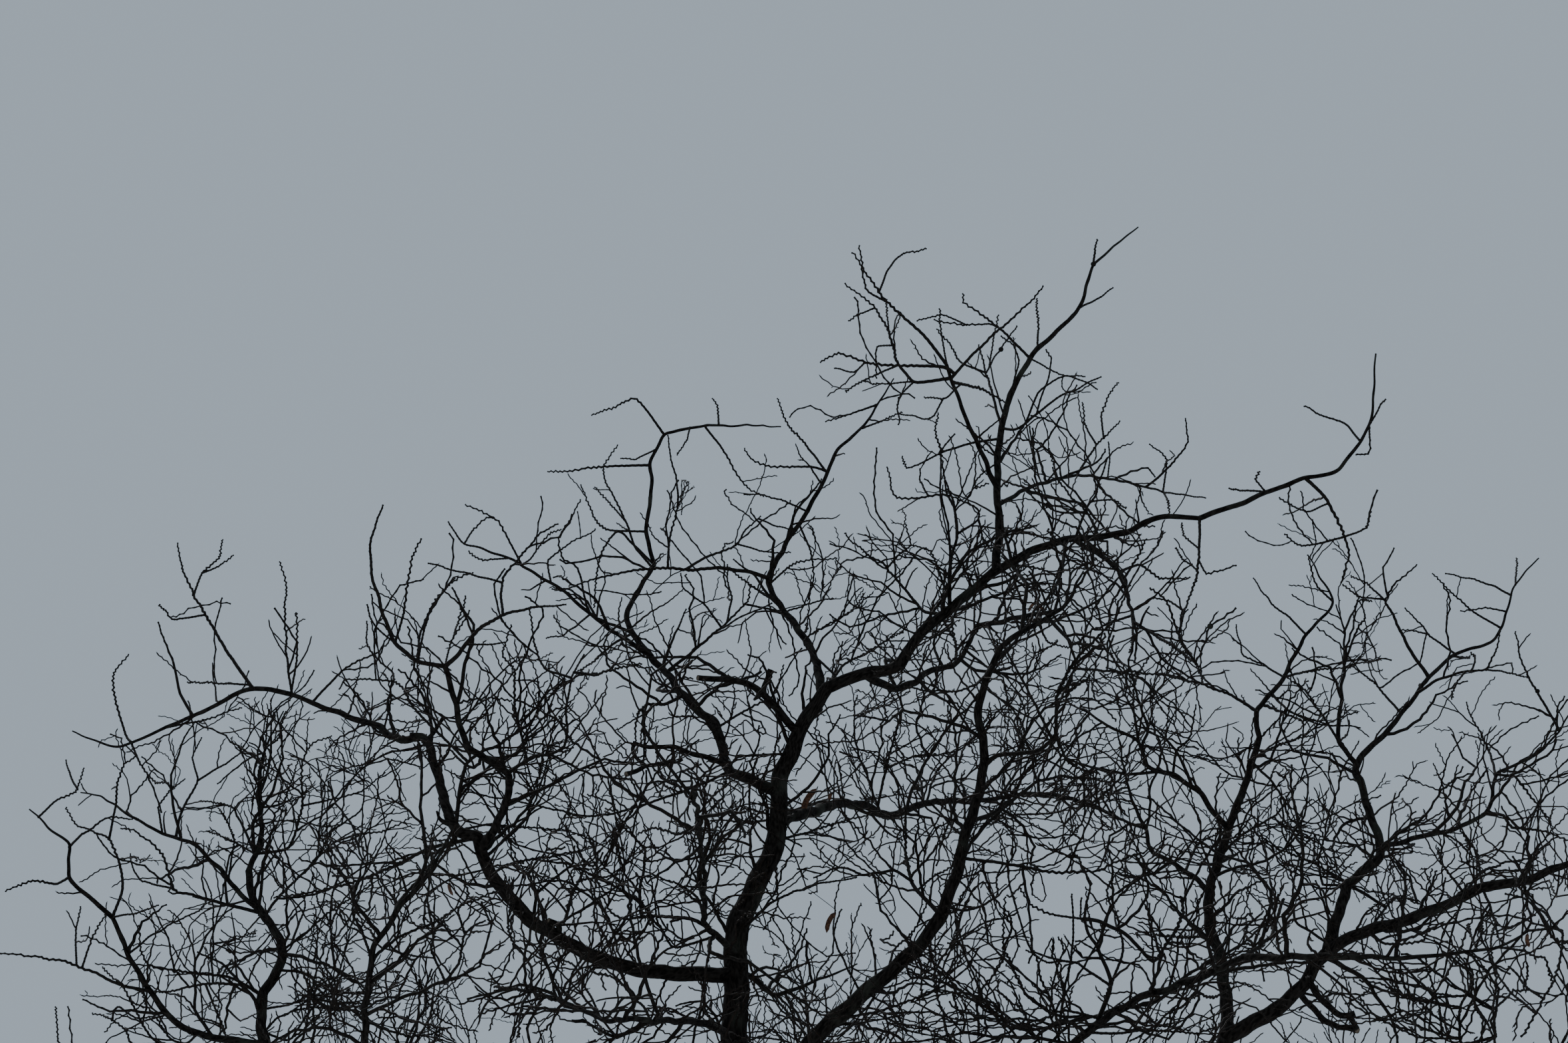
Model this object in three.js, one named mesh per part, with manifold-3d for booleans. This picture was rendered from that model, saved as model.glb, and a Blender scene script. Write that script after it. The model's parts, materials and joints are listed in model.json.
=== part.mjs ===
// A bare winter tree about ten metres tall: a short trunk that forks low, three stems, the
// boughs that leave them, and a mass of leafless twigs on the end of each bough.
// Millimetres, +Z up, origin at the centre of the trunk's flat cut at ground level.

import * as THREE from "three";
import { mergeVertices } from "three/addons/utils/BufferGeometryUtils.js";
import Module from "manifold-3d";

const wasm = await Module();
wasm.setup();

const metre = 1000;
const upright = new THREE.Vector3(0, 0, 1);

// Trunk: its axis leans a little, its foot spreads into buttresses.
const trunkHeight = 2.9 * metre;
const trunkLean = [[0, 0, 0], [0.03, 0.01, 0.9], [0.04, 0.03, 1.9], [0, 0, 2.9]];
const trunkDiameter = 300;
const trunkTopDiameter = 236;
const flareDiameter = 470;
const flareHeight = 260;
const buttresses = 5;
const buttressDepth = 0.13;
const trunkFluting = 0.025;
const flutingPitch = 600;
const trunkSides = 14;
const trunkStep = 0.3 * metre;
const footRings = [0.04, 0.1, 0.2, 0.34];

// Joints between pieces: the gap, the collar at a bough's foot, and how near two feet on
// one parent have to be for the later bough to be cut clear of the earlier one.
const seatGap = 0.4;
const collarSwell = 1.16;
const collarLength = 0.05;
const siblingReach = 0.7 * metre;

// Limbs are never quite straight: each step strays by this, and by a share of its girth.
const boughStep = 0.42 * metre;
const crookedness = 14;
const crookedShare = 0.22;
const stubStep = 0.3 * metre;
const stubSides = 6;
const stubTaper = 0.1;

// Twigs: the first shoot of a mass, the shoots that reach its tips, and side twigs.
const firstShootShare = 0.96;
const firstShootSides = 4;
const firstShootStep = 0.5 * metre;
const reachStep = 0.48 * metre;
const reachDiameter = 22;
const reachTries = 8;
const twigSides = 3;
const twigTipDiameter = 7;
const twigRise = 0.3;
const twigSway = [0.015, 0.04];
const sideTwigDiameter = 11;
const sideTwigLength = 0.6 * metre;
const sideTwigSpacing = 0.75 * metre;
const sideTwigLean = [38, 62];
const sideTwigRise = 0.18;
const sideTwigTurn = 0.5;
const sideTwigShortening = 0.4;
const spaceMargin = 0.07 * metre;
const twigClearance = 12;

// Pods: flat curved blades that hang from a few twigs.
const podLength = 210;
const podWidth = 30;
const podThickness = 7;
const podBow = 0.16;
const podStalk = 6;

// The boughs are set out on a sighting board, a plane 16 m from an eye 1.6 m above the
// ground, tipped back by 25 degrees. A place on it is [across, up, away]: metres across
// and up from the board's centre, and how far the place lies beyond the trunk.
const boardDistance = 16 * metre;
const boardTilt = THREE.MathUtils.degToRad(25);
const ahead = new THREE.Vector3(0, Math.cos(boardTilt), Math.sin(boardTilt));
const boardUp = new THREE.Vector3(0, -Math.sin(boardTilt), Math.cos(boardTilt));
const eye = new THREE.Vector3(0.25 * metre, -boardDistance * ahead.y, 1.6 * metre);

function sighted([across, up, away]) {
  const line = ahead.clone().multiplyScalar(boardDistance);
  line.addScaledVector(boardUp, up * metre);
  line.x += across * metre;
  return line.multiplyScalar((away * metre - eye.y) / line.y).add(eye);
}

function measured([x, y, z]) {
  return new THREE.Vector3(x, y, z).multiplyScalar(metre);
}

// Each bough: its parent, its diameters at foot and tip, and its bends, the first where it
// leaves the parent. Twigs grow on from its tip along lead and reach out to tips. A bough
// whose places are metres x, y, z from the origin has its places marked measured.
const boughs = [
  {
    name: "stem_centre", parent: "trunk", foot: 212, tip: 76, onTip: true,
    bends: [[-0.25, -5.8, 0], [-0.25, -4.6, 0], [-0.25, -3.94, 0], [-0.3, -3.1, 0.02],
      [-0.26, -2.42, 0.05], [-0.06, -1.96, 0.1], [-0.034, -1.619, 0.1], [0.017, -1.386, 0.08],
      [0.182, -1.102, 0.05], [0.26, -1, 0.05]],
  },
  {
    name: "stem_near_right", parent: "stem_centre", foot: 106, tip: 32,
    bends: [[-0.25, -3.9, 0], [0.18, -3.14, -0.3], [0.702, -2.665, -0.7],
      [0.942, -2.387, -0.9], [1.12, -1.78, -1.3], [1.191, -1.42, -1.55],
      [1.152, -1.097, -1.75], [1.3, -0.76, -2]],
    lead: [[1.46, -0.64, -2.15], [1.68, -0.52, -2.35], [1.8, -0.3, -2.7]],
    tips: [[1.1, -0.2, -2.6], [1.85, -0.95, -2.8], [1.45, -0.3, -3.2], [0.95, -0.6, -2.9],
      [2.08, -0.38, -3.0], [2.2, -0.8, -2.5]],
  },
  {
    name: "arm_upper_right", parent: "stem_centre", foot: 73, tip: 26, onTip: true,
    bends: [[0.26, -1, 0.05], [0.445, -0.925, 0], [0.68, -0.86, -0.1], [0.785, -0.684, -0.2],
      [1.022, -0.525, -0.3], [1.271, -0.286, -0.5], [1.61, -0.143, -0.7], [1.98, -0.08, -0.9],
      [2.264, 0.011, -1.1], [2.5, 0.02, -1.2]],
    lead: [[2.82, 0.14, -1.4], [3.14, 0.26, -1.6], [3.32, 0.3, -1.7], [3.52, 0.58, -1.8],
      [3.56, 1.01, -1.9]],
    tips: [[3.13, 0.7, -2.2], [3.34, -0.38, -1.9], [3.02, -0.08, -1.1], [3.53, 0.06, -2.1],
      [2.49, -0.6, -1.5], [2.72, -0.26, -1.6]],
  },
  {
    name: "leader_top", parent: "arm_upper_right", foot: 46, tip: 40,
    bends: [[1.26, -0.27, -0.5], [1.293, -0.021, -0.5], [1.271, 0.26, -0.5], [1.3, 0.5, -0.45]],
    lead: [[1.34, 0.7, -0.4], [1.48, 0.98, -0.35], [1.77, 1.28, -0.3], [1.86, 1.54, -0.3],
      [2.13, 1.77, -0.2]],
    tips: [[1.88, 1.7, -0.5], [1.98, 1.4, 0], [1.52, 1.34, -0.6], [1.08, 1.37, -0.7],
      [0.8, 1.22, 0], [1.9, 0.81, -0.9], [1.9, 0.87, 0], [0.93, 0.65, 0.1], [0.74, 0.32, 0.1],
      [1.4, 1.17, -0.1], [1.17, 1.06, 0.1]],
  },
  {
    name: "leader_top_left", parent: "leader_top", foot: 30, tip: 20,
    bends: [[1.28, 0.2, -0.5], [1.187, 0.414, -0.7], [1.04, 0.74, -0.9], [0.98, 0.94, -1]],
    lead: [[0.84, 1.12, -1.05], [0.62, 1.32, -1.1], [0.48, 1.52, -1.1], [0.45, 1.66, -1.1]],
    tips: [[0.86, 1.64, -1.3], [0.22, 0.96, -1.2], [0.37, 0.78, -1.5], [0.37, 1.43, -0.8],
      [0.39, 1.22, -1.0], [0.69, 0.66, -1.6], [0.94, 1.28, -0.8], [1.56, 1.42, -1.4],
      [0.55, 0.86, -0.8], [0.41, 1.62, -0.9]],
  },
  {
    name: "bough_mid_right", parent: "leader_top", foot: 25, tip: 18,
    bends: [[1.3, 0.1, -0.5], [1.521, 0.225, -0.2], [1.76, 0.28, 0.2]],
    lead: [[2.0, 0.25, 0.5], [2.28, 0.18, 0.9], [2.54, 0.14, 1.2]],
    tips: [[2.01, 0.84, 0.1], [1.8, 0.72, 0.5], [2.42, 0.64, 1.0], [2.2, 0.47, 1.3],
      [1.6, 0.42, 0.6]],
  },
  {
    name: "bough_droop", parent: "arm_upper_right", foot: 28, tip: 18,
    bends: [[1.78, -0.06, -0.75], [2.011, -0.288, -1.1], [2.066, -0.463, -1.4],
      [2.099, -0.601, -1.6]],
    lead: [[2.32, -0.74, -2.0], [2.48, -0.86, -2.3], [2.52, -0.98, -2.5]],
    tips: [[1.64, -1.18, -1.8], [2.2, -1.2, -2.8], [2.75, -0.7, -2.8], [2.44, -0.34, -2.2],
      [2.2, -0.4, -2.5]],
  },
  {
    name: "bough_inner_top", parent: "stem_centre", foot: 50, tip: 28,
    bends: [[0.22, -1.04, 0.05], [0.18, -0.8, 0.3], [0.08, -0.62, 0.5], [-0.08, -0.38, 0.7],
      [0.006, -0.163, 0.85], [0.14, 0.06, 0.95]],
    lead: [[0.26, 0.29, 1.0], [0.33, 0.44, 1.0], [0.47, 0.56, 1.0], [0.66, 0.86, 1.0]],
    tips: [[-0.04, 0.74, 1.1], [-0.26, 0.44, 1.4], [0.7, 0.65, 0.7], [0.26, 0.6, 1.5],
      [0.4, -0.12, 1.5], [-0.24, 0.17, 0.8]],
  },
  {
    name: "limb_left_inner", parent: "stem_centre", foot: 64, tip: 28,
    bends: [[-0.03, -1.62, 0.1], [-0.205, -1.551, 0.2], [-0.356, -1.462, 0.35],
      [-0.391, -1.216, 0.5], [-0.54, -1.11, 0.6], [-0.749, -0.879, 0.9], [-0.948, -0.624, 1.1],
      [-0.894, -0.443, 1.2], [-0.78, -0.26, 1.3]],
    lead: [[-0.83, -0.06, 1.3], [-0.8, 0.14, 1.25], [-0.8, 0.34, 1.2], [-0.72, 0.52, 1.2],
      [-0.48, 0.58, 1.1], [-0.02, 0.57, 0.6]],
    tips: [[-1.15, 0.64, 1.4], [-1.41, 0.3, 1.6], [-1.22, 0.22, 1.0], [-0.42, 0.74, 1.4],
      [-1.34, -0.39, 1.6], [-0.14, 0.01, 1.7], [-0.34, -0.04, 2.2], [-0.9, 0.74, 1.1],
      [-0.58, 0.24, 1.6]],
  },
  {
    name: "bough_left_upper", parent: "limb_left_inner", foot: 30, tip: 20,
    bends: [[-0.78, -0.82, 0.95], [-1.009, -0.673, 0.7], [-1.149, -0.572, 0.5],
      [-1.32, -0.42, 0.3]],
    lead: [[-1.58, -0.26, 0.1], [-1.74, -0.19, 0], [-1.92, -0.13, -0.1], [-2.02, 0, -0.2]],
    tips: [[-1.92, 0.1, 0.3], [-1.14, -0.05, 0], [-1.22, 0.14, -0.3], [-1.69, -0.55, -0.3],
      [-1.4, -0.69, -0.2], [-1.34, -0.05, 0.5], [-1.9, -0.18, 0.3]],
  },
  {
    name: "limb_left", parent: "stem_centre", foot: 78, tip: 66,
    bends: [[-0.32, -2.72, 0.02], [-0.723, -2.71, -0.2], [-1.128, -2.626, -0.4],
      [-1.375, -2.503, -0.5], [-1.62, -2.324, -0.6], [-1.789, -2.065, -0.65],
      [-1.84, -1.9, -0.7]],
  },
  {
    name: "limb_left_outer", parent: "limb_left", foot: 62, tip: 26, onTip: true,
    bends: [[-1.84, -1.9, -0.7], [-1.982, -1.837, -0.65], [-2.071, -1.607, -0.5],
      [-2.158, -1.329, -0.3], [-2.3, -1.31, -0.2], [-2.503, -1.226, 0], [-2.96, -1.04, 0.2]],
    lead: [[-3.2, -1.0, 0.3], [-3.48, -1.14, 0.4], [-3.72, -1.24, 0.5], [-4.02, -1.35, 0.6],
      [-4.28, -1.26, 0.7]],
    tips: [[-3.65, -0.13, 0.2], [-3.38, -0.11, 0.6], [-3.77, -0.51, 0.8],
      [-3.02, -0.24, 0], [-3.94, -0.8, 0.3], [-3.71, -1.56, 0.9], [-2.34, -0.66, 0.9]],
  },
  {
    name: "limb_left_riser", parent: "limb_left", foot: 46, tip: 28,
    bends: [[-1.83, -1.97, -0.68], [-1.7, -1.76, -0.9], [-1.653, -1.518, -1.15],
      [-1.907, -1.343, -1.45], [-1.991, -1.086, -1.65], [-2.04, -0.87, -1.8]],
    lead: [[-2.2, -0.84, -1.9], [-2.34, -0.73, -2.0], [-2.46, -0.4, -2.15],
      [-2.49, -0.14, -2.2], [-2.41, 0.1, -2.3]],
    tips: [[-2.18, -0.1, -2.7], [-1.86, -0.31, -2.4], [-1.44, -0.52, -2.6],
      [-2.51, -0.49, -1.5], [-2.67, -1.01, -2.6], [-1.52, -1.3, -2.4], [-1.36, -0.02, -2.2],
      [-1.89, -0.54, -1.8]],
  },
  {
    name: "bough_low_right", parent: "arm_upper_right", foot: 48, tip: 28,
    bends: [[0.48, -0.9, 0], [0.68, -1, 0.3], [0.88, -0.9, 0.6], [1.048, -0.83, 0.8],
      [1.16, -0.63, 1]],
    lead: [[1.4, -0.58, 1.3], [1.68, -0.52, 1.6], [1.73, -0.3, 1.8], [1.88, -0.23, 2.0]],
    tips: [[1.62, -0.85, 2.1], [1.1, -0.3, 1.6], [2.1, -0.6, 1.8]],
    pods: 2,
  },
  {
    name: "bough_spray", parent: "arm_upper_right", foot: 22, tip: 16,
    bends: [[0.98, -0.51, -0.3], [1, -0.26, -0.5], [1.04, -0.1, -0.6]],
    lead: [[1.04, -0.02, -0.65], [1.02, 0.1, -0.7], [0.96, 0.26, -0.85]],
    tips: [[1.21, 0.1, -1.0], [0.62, 0.34, -1.0], [0.36, -0.08, -0.6], [0.6, -0.28, -0.9],
      [0.82, -0.14, -1.2]],
  },
  {
    name: "bough_far_right", parent: "stem_centre", foot: 68, tip: 28,
    bends: [[0, -1.8, 0.1], [0.153, -1.746, 0.5], [0.357, -1.695, 1], [0.639, -1.768, 1.6],
      [0.842, -1.706, 2], [1.44, -1.64, 3.1]],
    lead: [[1.64, -1.65, 3.4], [1.94, -1.74, 3.8], [2.14, -1.84, 4.1]],
    tips: [[1.5, -1.25, 3.7], [1.15, -1.3, 3.5], [2.2, -1.45, 3.6], [1.6, -2.1, 4.2],
      [1.9, -1.0, 3.0]],
    pods: 1,
  },
  {
    name: "stem_right", parent: "trunk", foot: 144, tip: 38,
    bends: [[-0.25, -6.2, 0], [0.88, -4.46, 0.2], [2.08, -3.58, 0.45], [2.66, -3.14, 0.6],
      [2.644, -2.702, 0.8], [2.556, -2.323, 1], [2.672, -1.903, 1.15], [2.773, -1.585, 1.25],
      [2.86, -1.3, 1.35]],
    lead: [[2.84, -1.14, 1.4], [2.98, -0.98, 1.5], [3.14, -0.68, 1.6], [3.3, -0.48, 1.6],
      [3.15, -0.2, 1.7]],
    tips: [[2.32, -0.92, 1.8], [3.2, -1.28, 1.9], [2.32, -1.52, 2.1], [2.7, -0.6, 2.3],
      [2.82, -0.34, 1.8], [3.44, -0.87, 2.0], [1.68, -1.07, 2.4], [2.22, -0.78, 2.7],
      [2.0, -1.3, 1.8]],
  },
  {
    name: "arm_right", parent: "stem_right", foot: 84, tip: 52,
    bends: [[2.66, -3.1, 0.6], [3.014, -2.896, 0.5], [3.28, -2.58, 0.35], [3.522, -2.468, 0.2],
      [3.88, -2.34, 0], [4.2, -2.2, -0.2]],
    lead: [[4.44, -2.16, -0.3], [4.72, -2.06, -0.4], [5.15, -1.86, -0.6]],
    tips: [[5.0, -1.5, -0.2], [5.1, -2.3, -1.1], [4.6, -2.6, -1.0], [4.5, -1.75, -0.8],
      [5.05, -2.0, 0.2], [4.7, -1.95, 0.6]],
  },
  {
    name: "bough_right_riser", parent: "arm_right", foot: 68, tip: 32,
    bends: [[3.28, -2.58, 0.35], [3.33, -2.382, 0.4], [3.416, -2.17, 0.5],
      [3.572, -1.983, 0.6], [3.485, -1.665, 0.7], [3.447, -1.455, 0.8], [3.68, -1.2, 0.95]],
    lead: [[3.88, -0.94, 1.1], [4.04, -0.8, 1.2], [4.28, -0.7, 1.25], [4.4, -0.38, 1.3],
      [4.54, -0.22, 1.3]],
    tips: [[3.8, -0.26, 1.0], [3.28, -0.66, 0.6], [3.24, -1.1, 0.3], [4.72, -1.18, 0.9],
      [4.5, -1.44, 0.5], [3.41, -0.33, 0.8], [3.9, -0.31, 1.5], [4.01, -1.07, 1.5],
      [4.48, -0.94, 1.6], [4.4, -0.58, 0.8]],
  },
  {
    name: "bough_near_right", parent: "stem_right", foot: 60, tip: 28,
    bends: [[0.5, -4.8, 0.1], [1.28, -3.74, -0.6], [1.84, -3.04, -1.3], [2.44, -2.76, -2],
      [2.76, -2.62, -2.5]],
    lead: [[3.12, -2.62, -2.9], [3.68, -2.62, -3.3], [4.28, -2.56, -3.5],
      [4.48, -2.46, -3.6]],
    tips: [[3.0, -2.28, -3.0], [3.28, -2.24, -2.4], [2.4, -2.26, -3.2], [3.9, -2.25, -3.9],
      [3.3, -2.95, -3.8], [4.28, -3.05, -3.8], [4.04, -2.86, -3.1]],
  },
  {
    name: "stem_left", parent: "trunk", foot: 132, tip: 44,
    bends: [[-0.26, -6.36, 0], [-1.32, -4.38, 0.3], [-2.48, -3.62, 0.8], [-3.14, -3.14, 1.2],
      [-3.124, -2.861, 1.3], [-3.013, -2.582, 1.45], [-3.202, -2.27, 1.65],
      [-3.22, -2.1, 1.75]],
    lead: [[-3.18, -2.0, 1.85], [-3.14, -1.86, 1.9], [-3.16, -1.62, 2.1],
      [-3.12, -1.36, 2.3], [-3.01, -1.14, 2.4]],
    tips: [[-3.5, -1.29, 2.7], [-4.02, -1.71, 2.2], [-3.74, -1.88, 2.6], [-1.96, -1.84, 2.9],
      [-2.6, -1.5, 3.1], [-3.0, -1.14, 2.1], [-2.72, -1.29, 2.6], [-4.23, -1.63, 1.8],
      [-3.99, -1.85, 1.6], [-3.22, -1.35, 2.9], [-2.4, -1.51, 2.4]],
  },
  {
    name: "bough_left_outer", parent: "stem_left", foot: 44, tip: 26,
    bends: [[-3.12, -3.16, 1.2], [-3.58, -3.06, 1.1], [-3.84, -2.77, 1], [-4.04, -2.38, 0.9]],
    lead: [[-4.3, -2.14, 0.8], [-4.3, -1.96, 0.8], [-4.54, -1.73, 0.8]],
    tips: [[-4.68, -2.22, 0.6], [-3.99, -1.46, 1.2], [-4.32, -1.44, 1.3],
      [-4.72, -2.6, 0.5], [-3.92, -1.79, 1.1], [-4.21, -1.48, 0.6], [-4.23, -2.32, 0.4]],
  },
  {
    name: "stem_near_left", parent: "stem_left", foot: 62, tip: 26,
    bends: [[-0.9, -4.7, 0.2], [-1.68, -3.98, -0.6], [-2.32, -3.42, -1.3], [-2.5, -3.14, -1.6],
      [-2.487, -2.626, -2], [-2.36, -2.4, -2.2]],
    lead: [[-2.3, -2.3, -2.3], [-2.12, -2.1, -2.5], [-2.0, -1.86, -2.7]],
    tips: [[-1.76, -2.23, -2.9], [-1.92, -2.5, -3.1], [-2.7, -2.0, -3.3],
      [-2.9, -2.6, -3.2], [-2.6, -1.9, -2.4], [-1.96, -2.1, -2.2]],
  },
  {
    name: "limb_pruned", parent: "stem_centre", foot: 46, tip: 32,
    bends: [[0.06, -1.26, 0.08], [-0.093, -1.074, -0.1], [-0.26, -0.95, -0.25],
      [-0.52, -0.94, -0.4]],
  },
  {
    name: "bough_near_left", parent: "stem_centre", foot: 44, tip: 24,
    bends: [[-0.3, -3.1, 0.02], [-0.52, -3.01, -0.5], [-0.8, -3, -1.1], [-1.08, -3, -1.8]],
    lead: [[-1.24, -2.92, -2.3], [-1.56, -2.82, -3.0], [-1.75, -2.8, -3.6]],
    tips: [[-1.1, -3.1, -3.6], [-2.0, -3.3, -3.4], [-1.5, -2.5, -3.3], [-0.8, -2.8, -3.2],
      [-1.64, -2.28, -2.8], [-1.06, -2.48, -2.7]],
  },
  {
    name: "bough_near_centre", parent: "stem_centre", foot: 38, tip: 22,
    bends: [[-0.28, -2.6, 0.04], [-0.47, -2.427, -0.5], [-0.487, -2.061, -1.4],
      [-0.506, -1.901, -1.8]],
    lead: [[-0.51, -1.82, -2.1], [-0.54, -1.66, -2.6], [-0.56, -1.54, -3.1]],
    tips: [[-1.1, -2.26, -2.8], [-0.1, -2.0, -3.4], [0.2, -1.6, -3.0], [-0.9, -1.5, -3.6],
      [-0.3, -2.4, -3.9], [-1.18, -1.64, -2.9], [-0.88, -1.88, -3.5]],
  },
  {
    name: "bough_far_left", parent: "stem_centre", foot: 62, tip: 28, measured: true,
    bends: [[0, 0, 3.5], [-0.5, 0.9, 4.1], [-1.0, 2.0, 4.7], [-1.4, 3.0, 5.2]],
    lead: [[-1.7, 3.7, 5.5], [-2.0, 4.4, 5.8]],
    tips: [[-2.9, 3.5, 5.7], [-0.9, 4.6, 5.9], [-1.9, 3.7, 6.2], [-2.6, 4.2, 5.0],
      [-1.2, 3.9, 4.7], [-2.0, 3.0, 6.4]],
  },
  {
    name: "bough_far", parent: "stem_centre", foot: 58, tip: 28, measured: true,
    bends: [[0, 0, 4.0], [0.2, 1.0, 4.7], [0.35, 2.2, 5.3], [0.4, 3.2, 5.8]],
    lead: [[0.5, 4.0, 6.1], [0.4, 4.8, 6.3]],
    tips: [[-0.4, 4.4, 6.5], [1.3, 4.3, 6.2], [0.3, 3.7, 7.0], [1.2, 3.6, 5.4],
      [-0.2, 4.4, 5.4]],
  },
  {
    name: "bough_far_low", parent: "stem_right", foot: 60, tip: 28, measured: true,
    bends: [[0.5, 0.05, 3.2], [1.2, 0.9, 3.9], [2.1, 1.9, 4.5], [2.9, 2.7, 4.9]],
    lead: [[3.4, 3.2, 5.1], [3.8, 3.6, 5.3]],
    tips: [[4.2, 2.7, 5.4], [2.8, 3.9, 5.5], [3.3, 3.0, 6.0], [3.9, 2.9, 4.4],
      [2.6, 3.3, 4.4]],
  },
  {
    name: "bough_near", parent: "stem_centre", foot: 56, tip: 26, measured: true,
    bends: [[0, 0, 3.35], [0.15, -1.0, 3.75], [0.4, -2.1, 3.9], [0.7, -3.0, 3.95]],
    lead: [[0.8, -3.7, 4.0], [0.95, -4.4, 4.05]],
    tips: [[1.7, -3.7, 4.1], [0, -3.9, 4.0], [0.6, -3.8, 3.4], [1.5, -3.3, 3.5],
      [0.3, -4.6, 3.7]],
  },
  {
    name: "bough_near_low", parent: "stem_right", foot: 52, tip: 26, measured: true,
    bends: [[0.9, 0.08, 3.5], [1.7, -0.7, 3.9], [2.5, -1.4, 4.1], [3.2, -1.9, 4.2]],
    lead: [[3.7, -2.3, 4.3], [4.2, -2.7, 4.4]],
    tips: [[4.5, -1.8, 4.6], [3.4, -3.2, 4.2], [4.0, -2.4, 3.6], [3.0, -2.6, 3.7]],
  },
];

// Pruned ends: short cut lengths left on a bough, placed like the bends.
const stubs = [
  { on: "limb_pruned", diameter: 32, bends: [[-0.14, -1.05, -0.1], [-0.08, -0.89, -0.15]] },
  {
    on: "limb_left_inner", diameter: 28,
    bends: [[-0.36, -1.45, 0.36], [-0.6, -1.39, 0.3], [-0.9, -1.34, 0.25]],
  },
  {
    on: "limb_left_inner", diameter: 26,
    bends: [[-0.3, -1.48, 0.3], [-0.6, -1.48, 0.1], [-0.94, -1.52, -0.05]],
  },
  { on: "limb_left", diameter: 36, bends: [[-1.32, -2.45, -0.5], [-1.42, -2.4, -0.57]] },
  { on: "limb_left_outer", diameter: 26, bends: [[-2.14, -1.31, -0.3], [-2.05, -1.18, -0.35]] },
  { on: "limb_left_outer", diameter: 30, bends: [[-2.03, -1.86, -0.63], [-2.09, -1.74, -0.68]] },
  {
    on: "arm_right", diameter: 36,
    bends: [[3.16, -2.75, 0.42], [3.26, -2.9, 0.36], [3.34, -2.97, 0.33], [3.43, -2.96, 0.3]],
  },
  {
    on: "arm_right", diameter: 32,
    bends: [[3.08, -2.8, 0.45], [3.18, -2.93, 0.6], [3.25, -3.01, 0.68], [3.44, -3.05, 0.7]],
  },
];

// The same seed always grows the same tree.
let seed = 20261126;
function chance() {
  seed = (seed * 48271) % 2147483647;
  return seed / 2147483647;
}

function between(low, high) {
  return low + (high - low) * chance();
}

// A smooth path through places, with about one step a span length.
function smoothPath(places, stepLength) {
  const curve = new THREE.CatmullRomCurve3(places, false, "catmullrom", 0.5);
  const path = [places[0].clone()];
  for (let span = 1; span < places.length; span += 1) {
    const steps = Math.max(1, Math.round(places[span - 1].distanceTo(places[span]) / stepLength));
    for (let step = 1; step <= steps; step += 1) {
      path.push(curve.getPoint((span - 1 + step / steps) / (places.length - 1)));
    }
  }
  return path;
}

// Lets the inner points of a path stray from it, as a limb grows round its old shoots.
function crook(path, radii) {
  for (let i = 2; i < path.length - 1; i += 1) {
    const along = path[i + 1].clone().sub(path[i - 1]).normalize();
    const stray = (crookedness + crookedShare * radii[i]) * between(0.4, 1);
    path[i].addScaledVector(anySide(along).applyAxisAngle(along, between(0, 2 * Math.PI)), stray);
  }
}

function pathLengths(path) {
  const lengths = [0];
  for (let i = 1; i < path.length; i += 1) {
    lengths.push(lengths[i - 1] + path[i].distanceTo(path[i - 1]));
  }
  return lengths;
}

// Radii along a path that tapers evenly from foot to tip, with a swollen collar.
function taper(path, footRadius, tipRadius, swell = 1) {
  const lengths = pathLengths(path);
  const whole = lengths[lengths.length - 1];
  return lengths.map((length) => {
    const share = length / whole;
    const collar = 1 + (swell - 1) * Math.max(0, 1 - share / collarLength);
    return (footRadius + (tipRadius - footRadius) * share) * collar;
  });
}

// The direction of a path at each of its points.
function headings(path, firstHeading) {
  return path.map((point, i) => {
    if (i === 0 && firstHeading) return firstHeading.clone();
    const before = path[Math.max(0, i - 1)];
    const after = path[Math.min(path.length - 1, i + 1)];
    return after.clone().sub(before).normalize();
  });
}

function anySide(heading) {
  const rough = Math.abs(heading.z) < 0.9 ? new THREE.Vector3(0, 0, 1) : new THREE.Vector3(1, 0, 0);
  return rough.cross(heading).normalize();
}

function toSolid(geometry) {
  return new wasm.Manifold(new wasm.Mesh({
    numProp: 3,
    vertProperties: new Float32Array(geometry.attributes.position.array),
    triVerts: new Uint32Array(geometry.index.array),
  }));
}

// A closed limb: a unit cylinder whose rings are laid along a path. reshape may change a
// ring's radius by its angle and height, as the trunk's buttresses do.
function limbSolid(path, radii, sides, { firstHeading, flat = 1, reshape } = {}) {
  const steps = path.length - 1;
  const cylinder = new THREE.CylinderGeometry(1, 1, 1, sides, steps);
  cylinder.deleteAttribute("normal");
  cylinder.deleteAttribute("uv");
  const shape = mergeVertices(cylinder, 1e-4);
  const along = headings(path, firstHeading);
  const side = [anySide(along[0])];
  for (let i = 1; i <= steps; i += 1) {
    side.push(side[i - 1].clone().projectOnPlane(along[i]).normalize());
  }
  const spot = shape.attributes.position;
  for (let i = 0; i < spot.count; i += 1) {
    const ring = Math.round((spot.getY(i) + 0.5) * steps);
    const x = spot.getX(i);
    const z = spot.getZ(i);
    const change = reshape && (x !== 0 || z !== 0) ? reshape(Math.atan2(z, x), ring) : 1;
    const across = side[ring].clone().multiplyScalar(x * radii[ring] * change);
    const over = side[ring].clone().cross(along[ring]);
    over.multiplyScalar(z * radii[ring] * change * flat);
    const point = path[ring].clone().add(across).add(over);
    spot.setXYZ(i, point.x, point.y, point.z);
  }
  return toSolid(shape);
}

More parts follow.
